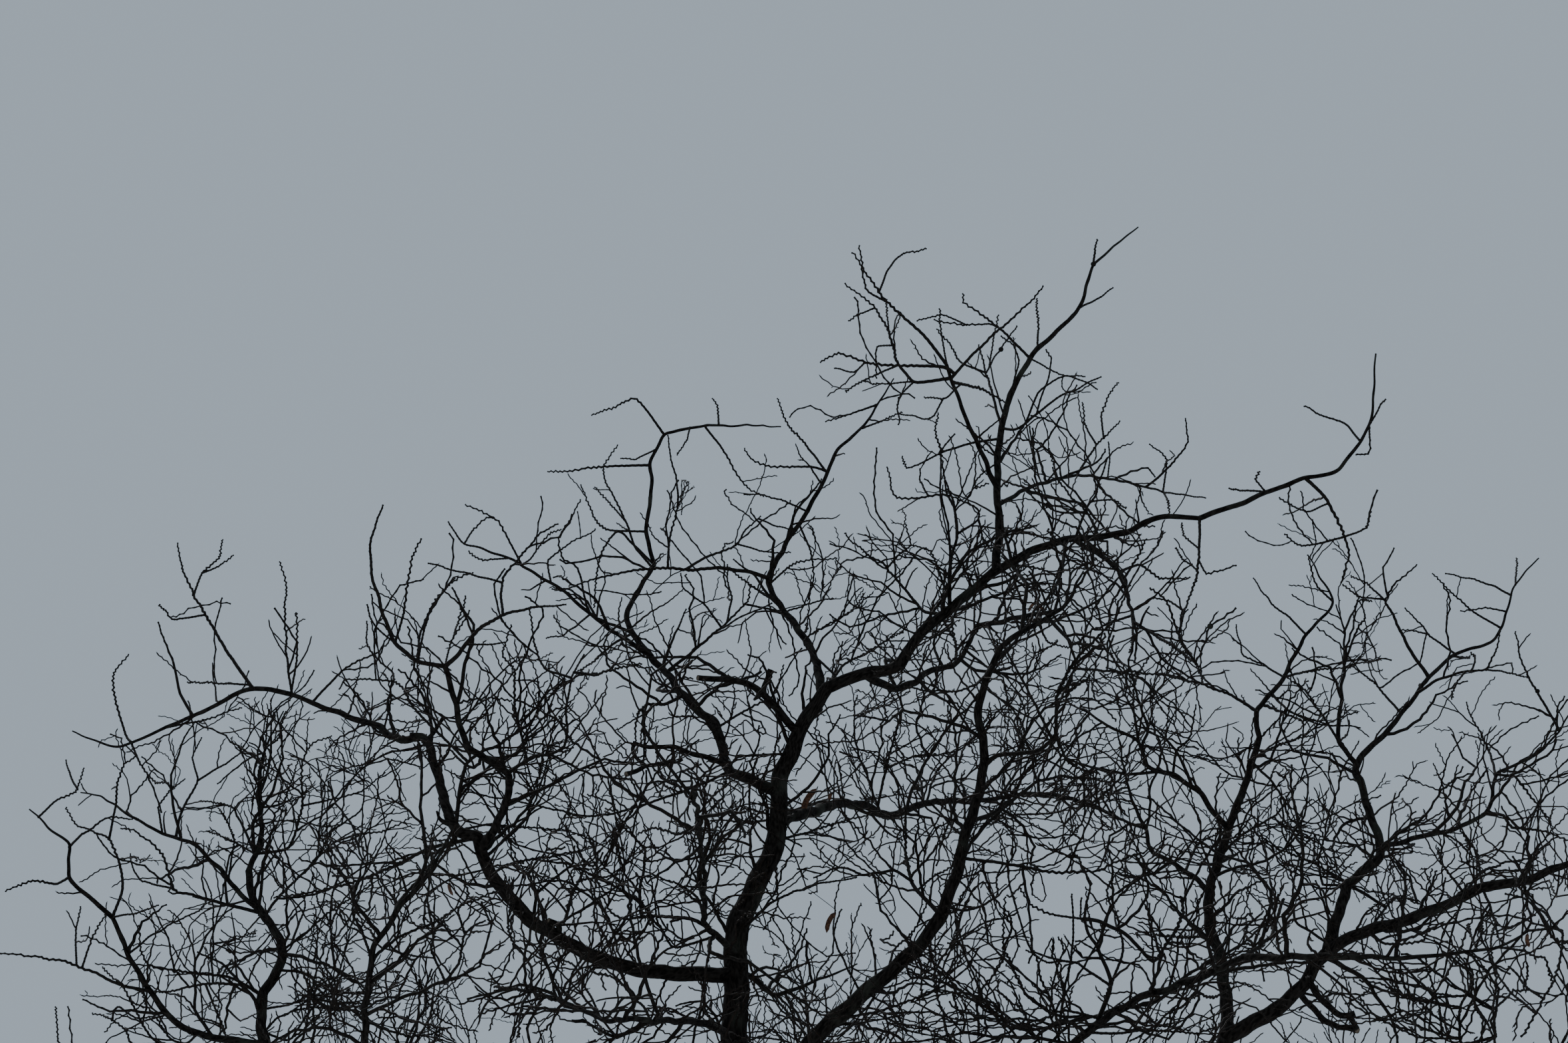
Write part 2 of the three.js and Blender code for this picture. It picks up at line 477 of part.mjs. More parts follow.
// The space a limb keeps clear: itself, swollen and lengthened by the seat gap.
function clearance(limb) {
  const path = limb.path.map((point) => point.clone());
  const along = headings(path, limb.options.firstHeading);
  path[0].addScaledVector(along[0], -seatGap);
  path[path.length - 1].addScaledVector(along[path.length - 1], seatGap);
  const radii = limb.radii.map((radius) => radius + seatGap / Math.cos(Math.PI / limb.sides));
  return limbSolid(path, radii, limb.sides, limb.options);
}

// Everything that has been grown, as short straight stretches, to keep twigs apart.
const stretches = [];

function record(owner, path, radii) {
  for (let i = 1; i < path.length; i += 1) {
    const line = new THREE.Line3(path[i - 1].clone(), path[i].clone());
    const radius = Math.max(radii[i - 1], radii[i]);
    stretches.push({ owner, line, radius });
  }
}

function isClear(path, radii, from, skip) {
  for (let i = Math.max(1, from); i < path.length; i += 1) {
    const line = new THREE.Line3(path[i - 1], path[i]);
    const radius = Math.max(radii[i - 1], radii[i]);
    for (const stretch of stretches) {
      if (stretch.owner === skip) continue;
      const reach = radius + stretch.radius + twigClearance;
      if (line.distanceSqToLine3(stretch.line) < reach * reach) return false;
    }
  }
  return true;
}

const limbs = new Map();

// How many sides a bough of some girth is drawn with.
function sidesFor(diameter) {
  if (diameter > 100) return 8;
  return diameter > 50 ? 6 : 5;
}

// The trunk has closer rings where its foot flares.
function growTrunk() {
  const path = smoothPath(trunkLean.map(measured), trunkStep);
  path.splice(1, 1, ...footRings.map((height) => measured([0, 0, height])));
  const radii = path.map((point) => {
    const share = point.z / trunkHeight;
    const body = trunkDiameter + (trunkTopDiameter - trunkDiameter) * share;
    return (body + (flareDiameter - trunkDiameter) * Math.exp(-point.z / flareHeight)) / 2;
  });
  const reshape = (angle, ring) => {
    const fade = Math.exp(-path[ring].z / flareHeight);
    const lobes = Math.cos(buttresses * angle + 0.6) + 0.5 * Math.cos(2 * angle + 1.9);
    const flutes = Math.cos(3 * angle + path[ring].z / flutingPitch);
    return 1 + buttressDepth * fade * lobes + trunkFluting * flutes;
  };
  path[0].z = 0;
  const limb = { path, radii, sides: trunkSides, options: { firstHeading: upright, reshape } };
  limb.solid = limbSolid(path, radii, trunkSides, limb.options);
  limbs.set("trunk", limb);
  record("trunk", path, radii);
}

function nearestOn(path, place) {
  let best = { gap: Infinity };
  for (let i = 1; i < path.length; i += 1) {
    const line = new THREE.Line3(path[i - 1], path[i]);
    const point = line.closestPointToPoint(place, true, new THREE.Vector3());
    const gap = point.distanceTo(place);
    if (gap < best.gap) best = { gap, point, index: i };
  }
  return best;
}

// A bough runs from its parent's axis, or from just past the parent's tip, along its bends.
function growBough(row) {
  const toPlace = row.measured ? measured : sighted;
  const parent = limbs.get(row.parent);
  const places = row.bends.map(toPlace);
  const options = {};
  if (row.onTip) {
    options.firstHeading = tipHeading(parent);
    places[0] = tipOf(parent).clone().addScaledVector(options.firstHeading, seatGap);
  } else {
    places[0] = nearestOn(parent.path, places[0]).point;
  }
  const sides = sidesFor(row.foot);
  const path = smoothPath(places, boughStep);
  const radii = taper(path, row.foot / 2, row.tip / 2, row.onTip ? 1 : collarSwell);
  crook(path, radii);
  const limb = { path, radii, sides, options };
  limb.solid = limbSolid(path, radii, sides, options);
  limb.body = limb.solid;
  limbs.set(row.name, limb);
  record(row.name, path, radii);
}

function tipOf(limb) {
  return limb.path[limb.path.length - 1];
}

function tipHeading(limb) {
  return tipOf(limb).clone().sub(limb.path[limb.path.length - 2]).normalize();
}

// Cut ends are joined to their bough.
function growStub(row) {
  const limb = limbs.get(row.on);
  const places = row.bends.map(sighted);
  places[0] = nearestOn(limb.path, places[0]).point;
  const path = smoothPath(places, stubStep);
  const foot = (row.diameter / 2) * (1 + stubTaper);
  const radii = taper(path, foot, (row.diameter / 2) * (1 - stubTaper));
  limb.body = limb.body.add(limbSolid(path, radii, stubSides));
  record(row.on, path, radii);
}

// A bough is cut where it would enter its parent or a sibling that was there first.
function seatBough(row, index) {
  const limb = limbs.get(row.name);
  if (!row.onTip) limb.body = limb.body.subtract(clearance(limbs.get(row.parent)));
  for (const sibling of boughs.slice(0, index)) {
    if (sibling.parent !== row.parent && sibling.name !== row.parent) continue;
    const other = limbs.get(sibling.name);
    if (other.path[0].distanceTo(limb.path[0]) < siblingReach) {
      limb.body = limb.body.subtract(clearance(other));
    }
  }
  limb.body = largestPiece(limb.body);
}

// Twigs of one mass: shoots along the lead and out to each named tip, then side twigs.
function startMass(row) {
  const bough = limbs.get(row.name);
  const toPlace = row.measured ? measured : sighted;
  const heading = tipHeading(bough);
  const start = tipOf(bough).clone().addScaledVector(heading, seatGap);
  const places = [start, ...row.lead.map(toPlace)];
  const path = smoothPath(places, firstShootStep);
  const radii = taper(path, (row.tip / 2) * firstShootShare, twigTipDiameter / 2);
  const mass = { name: `twigs_${row.name}`, row, shoots: [], pieces: [] };
  mass.ends = row.tips.map(toPlace);
  mass.room = new THREE.Box3().setFromPoints([...places, ...mass.ends]).expandByScalar(spaceMargin);
  addShoot(mass, path, radii, firstShootSides, { firstHeading: heading });
  return mass;
}

function addShoot(mass, path, radii, sides, options) {
  mass.shoots.push({ path, radii });
  mass.pieces.push(limbSolid(path, radii, sides, options));
  record(mass.name, path, radii);
}

// The place on the mass's shoots that a new shoot to a tip leaves from: near the tip, and
// where the shoot already heads towards it.
function leavePlace(mass, end) {
  let best = { cost: Infinity };
  for (const shoot of mass.shoots) {
    for (let i = 1; i < shoot.path.length - 1; i += 1) {
      const point = shoot.path[i];
      const along = shoot.path[i + 1].clone().sub(shoot.path[i - 1]).normalize();
      const toEnd = end.clone().sub(point);
      const cost = toEnd.length() * (1.5 - toEnd.normalize().dot(along) * 0.7);
      if (cost < best.cost) best = { cost, point, along, radius: shoot.radii[i] };
    }
  }
  return best;
}

// A path that leaves along a heading, rises towards its tip and sways from side to side.
function kinked(from, heading, to, steps, sway) {
  const span = from.distanceTo(to);
  const arrive = to.clone().sub(from).normalize().addScaledVector(upright, twigRise).normalize();
  const curve = new THREE.CubicBezierCurve3(
    from,
    from.clone().addScaledVector(heading, span * 0.3),
    to.clone().addScaledVector(arrive, -span * 0.3),
    to,
  );
  const path = curve.getPoints(steps);
  const side = anySide(arrive).applyAxisAngle(arrive, between(0, Math.PI * 2));
  for (let i = 1; i < steps; i += 1) {
    path[i].addScaledVector(side, (i % 2 ? 1 : -1) * sway * span);
  }
  return path;
}

function reachTips(mass) {
  for (const end of mass.ends) {
    const leave = leavePlace(mass, end);
    const span = leave.point.distanceTo(end);
    const steps = Math.max(2, Math.round(span / reachStep));
    const straight = end.clone().sub(leave.point).normalize();
    const heading = leave.along.clone().lerp(straight, 0.5).normalize();
    for (let attempt = 0; attempt < reachTries; attempt += 1) {
      const path = kinked(leave.point, heading, end, steps, between(...twigSway));
      const foot = Math.min(leave.radius * 0.85, reachDiameter / 2);
      const radii = taper(path, foot, twigTipDiameter / 2);
      if (isClear(path, radii, 1, mass.name)) {
        addShoot(mass, path, radii, twigSides);
        break;
      }
    }
  }
}

// A side twig leaves a shoot between two of its points, leaning out and a little upwards.
function sideTwig(shoot, index, share, turn, length) {
  const from = shoot.path[index - 1].clone().lerp(shoot.path[index], share);
  const along = shoot.path[index].clone().sub(shoot.path[index - 1]).normalize();
  const out = anySide(along).applyAxisAngle(along, turn);
  const lean = THREE.MathUtils.degToRad(between(...sideTwigLean));
  const heading = along.multiplyScalar(Math.cos(lean)).addScaledVector(out, Math.sin(lean));
  heading.addScaledVector(upright, sideTwigRise).normalize();
  return [from, from.clone().addScaledVector(heading, length)];
}

// Side twigs leave by turns to one side and the other. One that would leave the mass's
// space, or come too near another twig or limb, is left off.
function fillSideTwigs(mass) {
  for (const shoot of [...mass.shoots]) {
    const lengths = pathLengths(shoot.path);
    const whole = lengths[lengths.length - 1];
    let turn = between(0, Math.PI * 2);
    let reach = between(0.5, 1) * sideTwigSpacing;
    while (reach < whole * 0.96) {
      const index = lengths.findIndex((length) => length >= reach);
      const share = (reach - lengths[index - 1]) / (lengths[index] - lengths[index - 1]);
      turn += Math.PI + between(-sideTwigTurn, sideTwigTurn);
      const shorter = 1 - sideTwigShortening * (reach / whole);
      const length = sideTwigLength * between(0.55, 1.15) * shorter;
      const twig = sideTwig(shoot, index, share, turn, length);
      const radii = [Math.min(sideTwigDiameter / 2, shoot.radii[index] * 0.9), twigTipDiameter / 2];
      const outer = [twig[0].clone().lerp(twig[1], 0.4), twig[1]];
      const roomy = mass.room.containsPoint(twig[1]);
      if (roomy && isClear(outer, radii, 1, "") && isClear(twig, radii, 1, mass.name)) {
        mass.pieces.push(limbSolid(twig, radii, twigSides));
        record(mass.name, twig, radii);
      }
      reach += sideTwigSpacing;
    }
  }
}

// A pod hangs by its stalk from the middle of a shoot.
function hangPods(mass) {
  for (let count = 0; count < (mass.row.pods ?? 0); count += 1) {
    const shoot = mass.shoots[count % mass.shoots.length];
    const from = shoot.path[Math.floor(shoot.path.length / 2)];
    const swing = new THREE.Vector3(between(-0.5, 0.5), between(-0.5, 0.5), -1).normalize();
    const curl = anySide(swing);
    const path = [0, 0.12, 0.35, 0.65, 1].map((share) => from.clone()
      .addScaledVector(swing, share * podLength)
      .addScaledVector(curl, Math.sin(share * Math.PI) * podLength * podBow));
    const radii = [podStalk, podStalk * 1.3, podWidth, podWidth, podStalk * 1.3]
      .map((diameter) => diameter / 2);
    mass.pieces.push(limbSolid(path, radii, 4, { flat: podThickness / podWidth }));
    record(mass.name, path, radii);
  }
}

// Keeps the largest closed piece of a solid and drops loose scraps.
function largestPiece(solid) {
  const { vertProperties, triVerts } = solid.getMesh();
  const parent = Array.from({ length: vertProperties.length / 3 }, (_, i) => i);
  const find = (i) => {
    while (parent[i] !== i) {
      parent[i] = parent[parent[i]];
      i = parent[i];
    }
    return i;
  };
  for (let t = 0; t < triVerts.length; t += 3) {
    parent[find(triVerts[t + 1])] = find(triVerts[t]);
    parent[find(triVerts[t + 2])] = find(triVerts[t]);
  }
  const counts = new Map();
  for (let t = 0; t < triVerts.length; t += 3) {
    const piece = find(triVerts[t]);
    counts.set(piece, (counts.get(piece) ?? 0) + 1);
  }
  if (counts.size === 1) return solid;
  const largest = [...counts].sort((a, b) => b[1] - a[1])[0][0];
  const kept = [];
  for (let t = 0; t < triVerts.length; t += 3) {
    if (find(triVerts[t]) === largest) kept.push(triVerts[t], triVerts[t + 1], triVerts[t + 2]);
  }
  return new wasm.Manifold(new wasm.Mesh({
    numProp: 3, vertProperties, triVerts: new Uint32Array(kept),
  }));
}

const barkGrey = { color: 0x4b413a, roughness: 0.92, metalness: 0 };
const twigBrown = { color: 0x3c302a, roughness: 0.85, metalness: 0 };

const tree = new THREE.Group();

// Puts a solid in the tree as a mesh whose own origin is at its foot.
function addMesh(name, solid, foot, look) {
  const { vertProperties, triVerts } = solid.getMesh();
  const geometry = new THREE.BufferGeometry();
  geometry.setAttribute("position", new THREE.BufferAttribute(vertProperties, 3));
  geometry.setIndex(new THREE.BufferAttribute(triVerts, 1));
  geometry.translate(-foot.x, -foot.y, -foot.z);
  geometry.computeVertexNormals();
  const mesh = new THREE.Mesh(geometry, new THREE.MeshStandardMaterial(look));
  mesh.name = name;
  mesh.position.copy(foot);
  tree.add(mesh);
}

growTrunk();
boughs.forEach(growBough);
stubs.forEach(growStub);
boughs.forEach(seatBough);

const masses = boughs.filter((row) => row.lead).map(startMass);
masses.forEach(reachTips);
masses.forEach(fillSideTwigs);
masses.forEach(hangPods);

const trunk = limbs.get("trunk");
addMesh("trunk", trunk.solid, trunk.path[0], barkGrey);
for (const row of boughs) {
  const limb = limbs.get(row.name);
  addMesh(row.name, limb.body, limb.path[0], barkGrey);
}
for (const mass of masses) {
  const solid = mass.pieces.reduce((joined, piece) => joined.add(piece));
  addMesh(mass.name, largestPiece(solid), mass.shoots[0].path[0], twigBrown);
}

export default tree;
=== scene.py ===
import json
import math

import bpy
import numpy as np
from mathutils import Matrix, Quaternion, Vector, noise

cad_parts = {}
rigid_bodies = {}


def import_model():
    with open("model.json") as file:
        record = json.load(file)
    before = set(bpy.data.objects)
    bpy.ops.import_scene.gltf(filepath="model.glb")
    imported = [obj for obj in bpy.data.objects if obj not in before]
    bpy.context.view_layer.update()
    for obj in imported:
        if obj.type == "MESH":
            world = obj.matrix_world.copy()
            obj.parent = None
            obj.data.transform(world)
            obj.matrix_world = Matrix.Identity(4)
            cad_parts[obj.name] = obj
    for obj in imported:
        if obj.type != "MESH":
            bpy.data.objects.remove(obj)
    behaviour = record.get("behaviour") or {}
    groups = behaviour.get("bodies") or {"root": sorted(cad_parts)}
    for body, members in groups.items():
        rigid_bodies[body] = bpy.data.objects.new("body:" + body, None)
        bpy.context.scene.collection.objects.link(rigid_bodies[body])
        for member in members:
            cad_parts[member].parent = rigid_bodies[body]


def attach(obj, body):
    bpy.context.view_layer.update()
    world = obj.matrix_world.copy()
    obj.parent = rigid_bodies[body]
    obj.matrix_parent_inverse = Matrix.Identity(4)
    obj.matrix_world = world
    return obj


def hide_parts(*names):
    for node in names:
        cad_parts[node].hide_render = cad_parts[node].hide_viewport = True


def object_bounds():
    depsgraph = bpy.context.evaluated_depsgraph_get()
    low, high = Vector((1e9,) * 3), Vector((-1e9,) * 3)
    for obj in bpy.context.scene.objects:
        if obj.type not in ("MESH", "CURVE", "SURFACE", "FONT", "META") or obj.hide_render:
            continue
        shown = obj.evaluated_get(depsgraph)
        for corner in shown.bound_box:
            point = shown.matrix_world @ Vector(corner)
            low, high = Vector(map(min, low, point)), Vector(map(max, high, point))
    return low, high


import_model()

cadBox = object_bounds()

# The sighting board that the boughs are set out on: 16 m from the eye, tipped back.
print("camera")
view = {
    "frame": (2358, 1568),
    "focal": 4000,
    "sensor": 36,
    "boardDistance": 16.0,
    "tilt": math.radians(25),
    "eyeRight": 0.25,
    "eyeHeight": 1.6,
}
ahead = Vector((0, math.cos(view["tilt"]), math.sin(view["tilt"])))
boardUp = Vector((0, -math.sin(view["tilt"]), math.cos(view["tilt"])))
eye = Vector((view["eyeRight"], -view["boardDistance"] * ahead.y, view["eyeHeight"]))

cameraData = bpy.data.cameras.new("camera")
cameraData.sensor_width = view["sensor"]
cameraData.lens = view["sensor"] * view["focal"] / view["frame"][0]
camera = bpy.data.objects.new("camera", cameraData)
camera.location = eye
camera.rotation_euler = (math.pi / 2 + view["tilt"], 0, 0)
bpy.context.scene.collection.objects.link(camera)
bpy.context.scene.camera = camera

upright = Vector((0, 0, 1))


def sighted(place):
    across, up, away = place
    line = ahead * view["boardDistance"] + boardUp * up
    line.x += across
    return eye + line * ((away - eye.y) / line.y)



# Each bough: name, parent, crown that its twigs belong to, diameters at foot and tip in mm, its
# bends and those of the twig that leads it on (across, up, away).
boughRows = [
    ("stem_centre", "trunk", "upper_left", 212, 76,
     [(-0.25, -5.8, 0), (-0.25, -4.6, 0), (-0.25, -3.94, 0), (-0.3, -3.1, 0.02),
      (-0.26, -2.42, 0.05), (-0.06, -1.96, 0.1), (-0.034, -1.619, 0.1), (0.017, -1.386, 0.08),
      (0.182, -1.102, 0.05), (0.26, -1, 0.05)],
     []),
    ("stem_near_right", "stem_centre", "upper_right", 106, 32,
     [(-0.25, -3.9, 0), (0.18, -3.14, -0.3), (0.702, -2.665, -0.7), (0.942, -2.387, -0.9),
      (1.12, -1.78, -1.3), (1.191, -1.42, -1.55), (1.152, -1.097, -1.75), (1.3, -0.76, -2)],
     [(1.46, -0.64, -2.15), (1.68, -0.52, -2.35), (1.8, -0.3, -2.7)]),
    ("arm_upper_right", "stem_centre", "upper_right", 73, 26,
     [(0.26, -1, 0.05), (0.445, -0.925, 0), (0.68, -0.86, -0.1), (0.785, -0.684, -0.2),
      (1.022, -0.525, -0.3), (1.271, -0.286, -0.5), (1.61, -0.143, -0.7), (1.98, -0.08, -0.9),
      (2.264, 0.011, -1.1), (2.5, 0.02, -1.2)],
     [(2.82, 0.14, -1.4), (3.14, 0.26, -1.6), (3.32, 0.3, -1.7), (3.52, 0.58, -1.8),
      (3.56, 1.01, -1.9)]),
    ("leader_top", "arm_upper_right", "top", 46, 40,
     [(1.26, -0.27, -0.5), (1.293, -0.021, -0.5), (1.271, 0.26, -0.5), (1.3, 0.5, -0.45)],
     [(1.34, 0.7, -0.4), (1.48, 0.98, -0.35), (1.77, 1.28, -0.3), (1.86, 1.54, -0.3),
      (2.13, 1.77, -0.2)]),
    ("leader_top_left", "leader_top", "top", 30, 20,
     [(1.28, 0.2, -0.5), (1.187, 0.414, -0.7), (1.04, 0.74, -0.9), (0.98, 0.94, -1)],
     [(0.84, 1.12, -1.05), (0.62, 1.32, -1.1), (0.48, 1.52, -1.1), (0.45, 1.66, -1.1)]),
    ("bough_mid_right", "leader_top", "top", 25, 18,
     [(1.3, 0.1, -0.5), (1.521, 0.225, -0.2), (1.76, 0.28, 0.2)],
     [(2, 0.25, 0.5), (2.28, 0.18, 0.9), (2.54, 0.14, 1.2)]),
    ("bough_droop", "arm_upper_right", "upper_right", 28, 18,
     [(1.78, -0.06, -0.75), (2.011, -0.288, -1.1), (2.066, -0.463, -1.4), (2.099, -0.601, -1.6)],
     [(2.32, -0.74, -2), (2.48, -0.86, -2.3), (2.52, -0.98, -2.5)]),
    ("bough_inner_top", "stem_centre", "top", 50, 28,
     [(0.22, -1.04, 0.05), (0.18, -0.8, 0.3), (0.08, -0.62, 0.5), (-0.08, -0.38, 0.7),
      (0.006, -0.163, 0.85), (0.14, 0.06, 0.95)],
     [(0.26, 0.29, 1), (0.33, 0.44, 1), (0.47, 0.56, 1), (0.66, 0.86, 1)]),
    ("limb_left_inner", "stem_centre", "upper_left", 64, 28,
     [(-0.03, -1.62, 0.1), (-0.205, -1.551, 0.2), (-0.356, -1.462, 0.35), (-0.391, -1.216, 0.5),
      (-0.54, -1.11, 0.6), (-0.749, -0.879, 0.9), (-0.948, -0.624, 1.1), (-0.894, -0.443, 1.2),
      (-0.78, -0.26, 1.3)],
     [(-0.83, -0.06, 1.3), (-0.8, 0.14, 1.25), (-0.8, 0.34, 1.2), (-0.72, 0.52, 1.2),
      (-0.48, 0.58, 1.1), (-0.02, 0.57, 0.6)]),
    ("bough_left_upper", "limb_left_inner", "upper_left", 30, 20,
     [(-0.78, -0.82, 0.95), (-1.009, -0.673, 0.7), (-1.149, -0.572, 0.5), (-1.32, -0.42, 0.3)],
     [(-1.58, -0.26, 0.1), (-1.74, -0.19, 0), (-1.92, -0.13, -0.1), (-2.02, 0, -0.2)]),
    ("limb_left", "stem_centre", "left", 78, 66,
     [(-0.32, -2.72, 0.02), (-0.723, -2.71, -0.2), (-1.128, -2.626, -0.4), (-1.375, -2.503, -0.5),
      (-1.62, -2.324, -0.6), (-1.789, -2.065, -0.65), (-1.84, -1.9, -0.7)],
     []),
    ("limb_left_outer", "limb_left", "left", 62, 26,
     [(-1.84, -1.9, -0.7), (-1.982, -1.837, -0.65), (-2.071, -1.607, -0.5), (-2.158, -1.329, -0.3),
      (-2.3, -1.31, -0.2), (-2.503, -1.226, 0), (-2.96, -1.04, 0.2)],
     [(-3.2, -1, 0.3), (-3.48, -1.14, 0.4), (-3.72, -1.24, 0.5), (-4.02, -1.35, 0.6),
      (-4.28, -1.26, 0.7)]),
    ("limb_left_riser", "limb_left", "left", 46, 28,
     [(-1.83, -1.97, -0.68), (-1.7, -1.76, -0.9), (-1.653, -1.518, -1.15), (-1.907, -1.343, -1.45),
      (-1.991, -1.086, -1.65), (-2.04, -0.87, -1.8)],
     [(-2.2, -0.84, -1.9), (-2.34, -0.73, -2), (-2.46, -0.4, -2.15), (-2.49, -0.14, -2.2),
      (-2.41, 0.1, -2.3)]),
    ("bough_low_right", "arm_upper_right", "upper_right", 48, 28,
     [(0.48, -0.9, 0), (0.68, -1, 0.3), (0.88, -0.9, 0.6), (1.048, -0.83, 0.8), (1.16, -0.63, 1)],
     [(1.4, -0.58, 1.3), (1.68, -0.52, 1.6), (1.73, -0.3, 1.8), (1.88, -0.23, 2)]),
    ("bough_spray", "arm_upper_right", "top", 22, 16,
     [(0.98, -0.51, -0.3), (1, -0.26, -0.5), (1.04, -0.1, -0.6)],
     [(1.04, -0.02, -0.65), (1.02, 0.1, -0.7), (0.96, 0.26, -0.85)]),
    ("bough_far_right", "stem_centre", "far", 68, 28,
     [(0, -1.8, 0.1), (0.153, -1.746, 0.5), (0.357, -1.695, 1), (0.639, -1.768, 1.6),
      (0.842, -1.706, 2), (1.44, -1.64, 3.1)],
     [(1.64, -1.65, 3.4), (1.94, -1.74, 3.8), (2.14, -1.84, 4.1)]),
    ("stem_right", "trunk", "right", 144, 38,
     [(-0.25, -6.2, 0), (0.88, -4.46, 0.2), (2.08, -3.58, 0.45), (2.66, -3.14, 0.6),
      (2.644, -2.702, 0.8), (2.556, -2.323, 1), (2.672, -1.903, 1.15), (2.773, -1.585, 1.25),
      (2.86, -1.3, 1.35)],
     [(2.84, -1.14, 1.4), (2.98, -0.98, 1.5), (3.14, -0.68, 1.6), (3.3, -0.48, 1.6),
      (3.15, -0.2, 1.7)]),
    ("arm_right", "stem_right", "right", 84, 52,
     [(2.66, -3.1, 0.6), (3.014, -2.896, 0.5), (3.28, -2.58, 0.35), (3.522, -2.468, 0.2),
      (3.88, -2.34, 0), (4.2, -2.2, -0.2)],
     [(4.44, -2.16, -0.3), (4.72, -2.06, -0.4), (5.15, -1.86, -0.6)]),
    ("bough_right_riser", "arm_right", "right", 68, 32,
     [(3.28, -2.58, 0.35), (3.33, -2.382, 0.4), (3.416, -2.17, 0.5), (3.572, -1.983, 0.6),
      (3.485, -1.665, 0.7), (3.447, -1.455, 0.8), (3.68, -1.2, 0.95)],
     [(3.88, -0.94, 1.1), (4.04, -0.8, 1.2), (4.28, -0.7, 1.25), (4.4, -0.38, 1.3),
      (4.54, -0.22, 1.3)]),
    ("bough_near_right", "stem_right", "right_low", 60, 28,
     [(0.5, -4.8, 0.1), (1.28, -3.74, -0.6), (1.84, -3.04, -1.3), (2.44, -2.76, -2),
      (2.76, -2.62, -2.5)],
     [(3.12, -2.62, -2.9), (3.68, -2.62, -3.3), (4.28, -2.56, -3.5), (4.48, -2.46, -3.6)]),
    ("stem_left", "trunk", "left_low", 132, 44,
     [(-0.26, -6.36, 0), (-1.32, -4.38, 0.3), (-2.48, -3.62, 0.8), (-3.14, -3.14, 1.2),
      (-3.124, -2.861, 1.3), (-3.013, -2.582, 1.45), (-3.202, -2.27, 1.65), (-3.22, -2.1, 1.75)],
     [(-3.18, -2, 1.85), (-3.14, -1.86, 1.9), (-3.16, -1.62, 2.1), (-3.12, -1.36, 2.3),
      (-3.01, -1.14, 2.4)]),
    ("bough_left_outer", "stem_left", "left_low", 44, 26,
     [(-3.12, -3.16, 1.2), (-3.58, -3.06, 1.1), (-3.84, -2.77, 1), (-4.04, -2.38, 0.9)],
     [(-4.3, -2.14, 0.8), (-4.3, -1.96, 0.8), (-4.54, -1.73, 0.8)]),
    ("stem_near_left", "stem_left", "left_low", 62, 26,
     [(-0.9, -4.7, 0.2), (-1.68, -3.98, -0.6), (-2.32, -3.42, -1.3), (-2.5, -3.14, -1.6),
      (-2.487, -2.626, -2), (-2.36, -2.4, -2.2)],
     [(-2.3, -2.3, -2.3), (-2.12, -2.1, -2.5), (-2, -1.86, -2.7)]),
    ("limb_pruned", "stem_centre", "upper_left", 46, 32,
     [(0.06, -1.26, 0.08), (-0.093, -1.074, -0.1), (-0.26, -0.95, -0.25), (-0.52, -0.94, -0.4)],
     []),
    ("bough_near_left", "stem_centre", "near", 44, 24,
     [(-0.3, -3.1, 0.02), (-0.52, -3.01, -0.5), (-0.8, -3, -1.1), (-1.08, -3, -1.8)],
     [(-1.24, -2.92, -2.3), (-1.56, -2.82, -3), (-1.75, -2.8, -3.6)]),
    ("bough_near_centre", "stem_centre", "near", 38, 22,
     [(-0.28, -2.6, 0.04), (-0.47, -2.427, -0.5), (-0.487, -2.061, -1.4), (-0.506, -1.901, -1.8)],
     [(-0.51, -1.82, -2.1), (-0.54, -1.66, -2.6), (-0.56, -1.54, -3.1)]),
    ("bough_far_left", "stem_centre", "far", 62, 28,
     [(0, 0, 3.5), (-0.5, 0.9, 4.1), (-1, 2, 4.7), (-1.4, 3, 5.2)],
     [(-1.7, 3.7, 5.5), (-2, 4.4, 5.8)]),
    ("bough_far", "stem_centre", "far", 58, 28,
     [(0, 0, 4), (0.2, 1, 4.7), (0.35, 2.2, 5.3), (0.4, 3.2, 5.8)],
     [(0.5, 4, 6.1), (0.4, 4.8, 6.3)]),
    ("bough_far_low", "stem_right", "right_low", 60, 28,
     [(0.5, 0.05, 3.2), (1.2, 0.9, 3.9), (2.1, 1.9, 4.5), (2.9, 2.7, 4.9)],
     [(3.4, 3.2, 5.1), (3.8, 3.6, 5.3)]),
    ("bough_near", "stem_centre", "near", 56, 26,
     [(0, 0, 3.35), (0.15, -1, 3.75), (0.4, -2.1, 3.9), (0.7, -3, 3.95)],
     [(0.8, -3.7, 4), (0.95, -4.4, 4.05)]),
    ("bough_near_low", "stem_right", "right_low", 52, 26,
     [(0.9, 0.08, 3.5), (1.7, -0.7, 3.9), (2.5, -1.4, 4.1), (3.2, -1.9, 4.2)],
     [(3.7, -2.3, 4.3), (4.2, -2.7, 4.4)]),
]
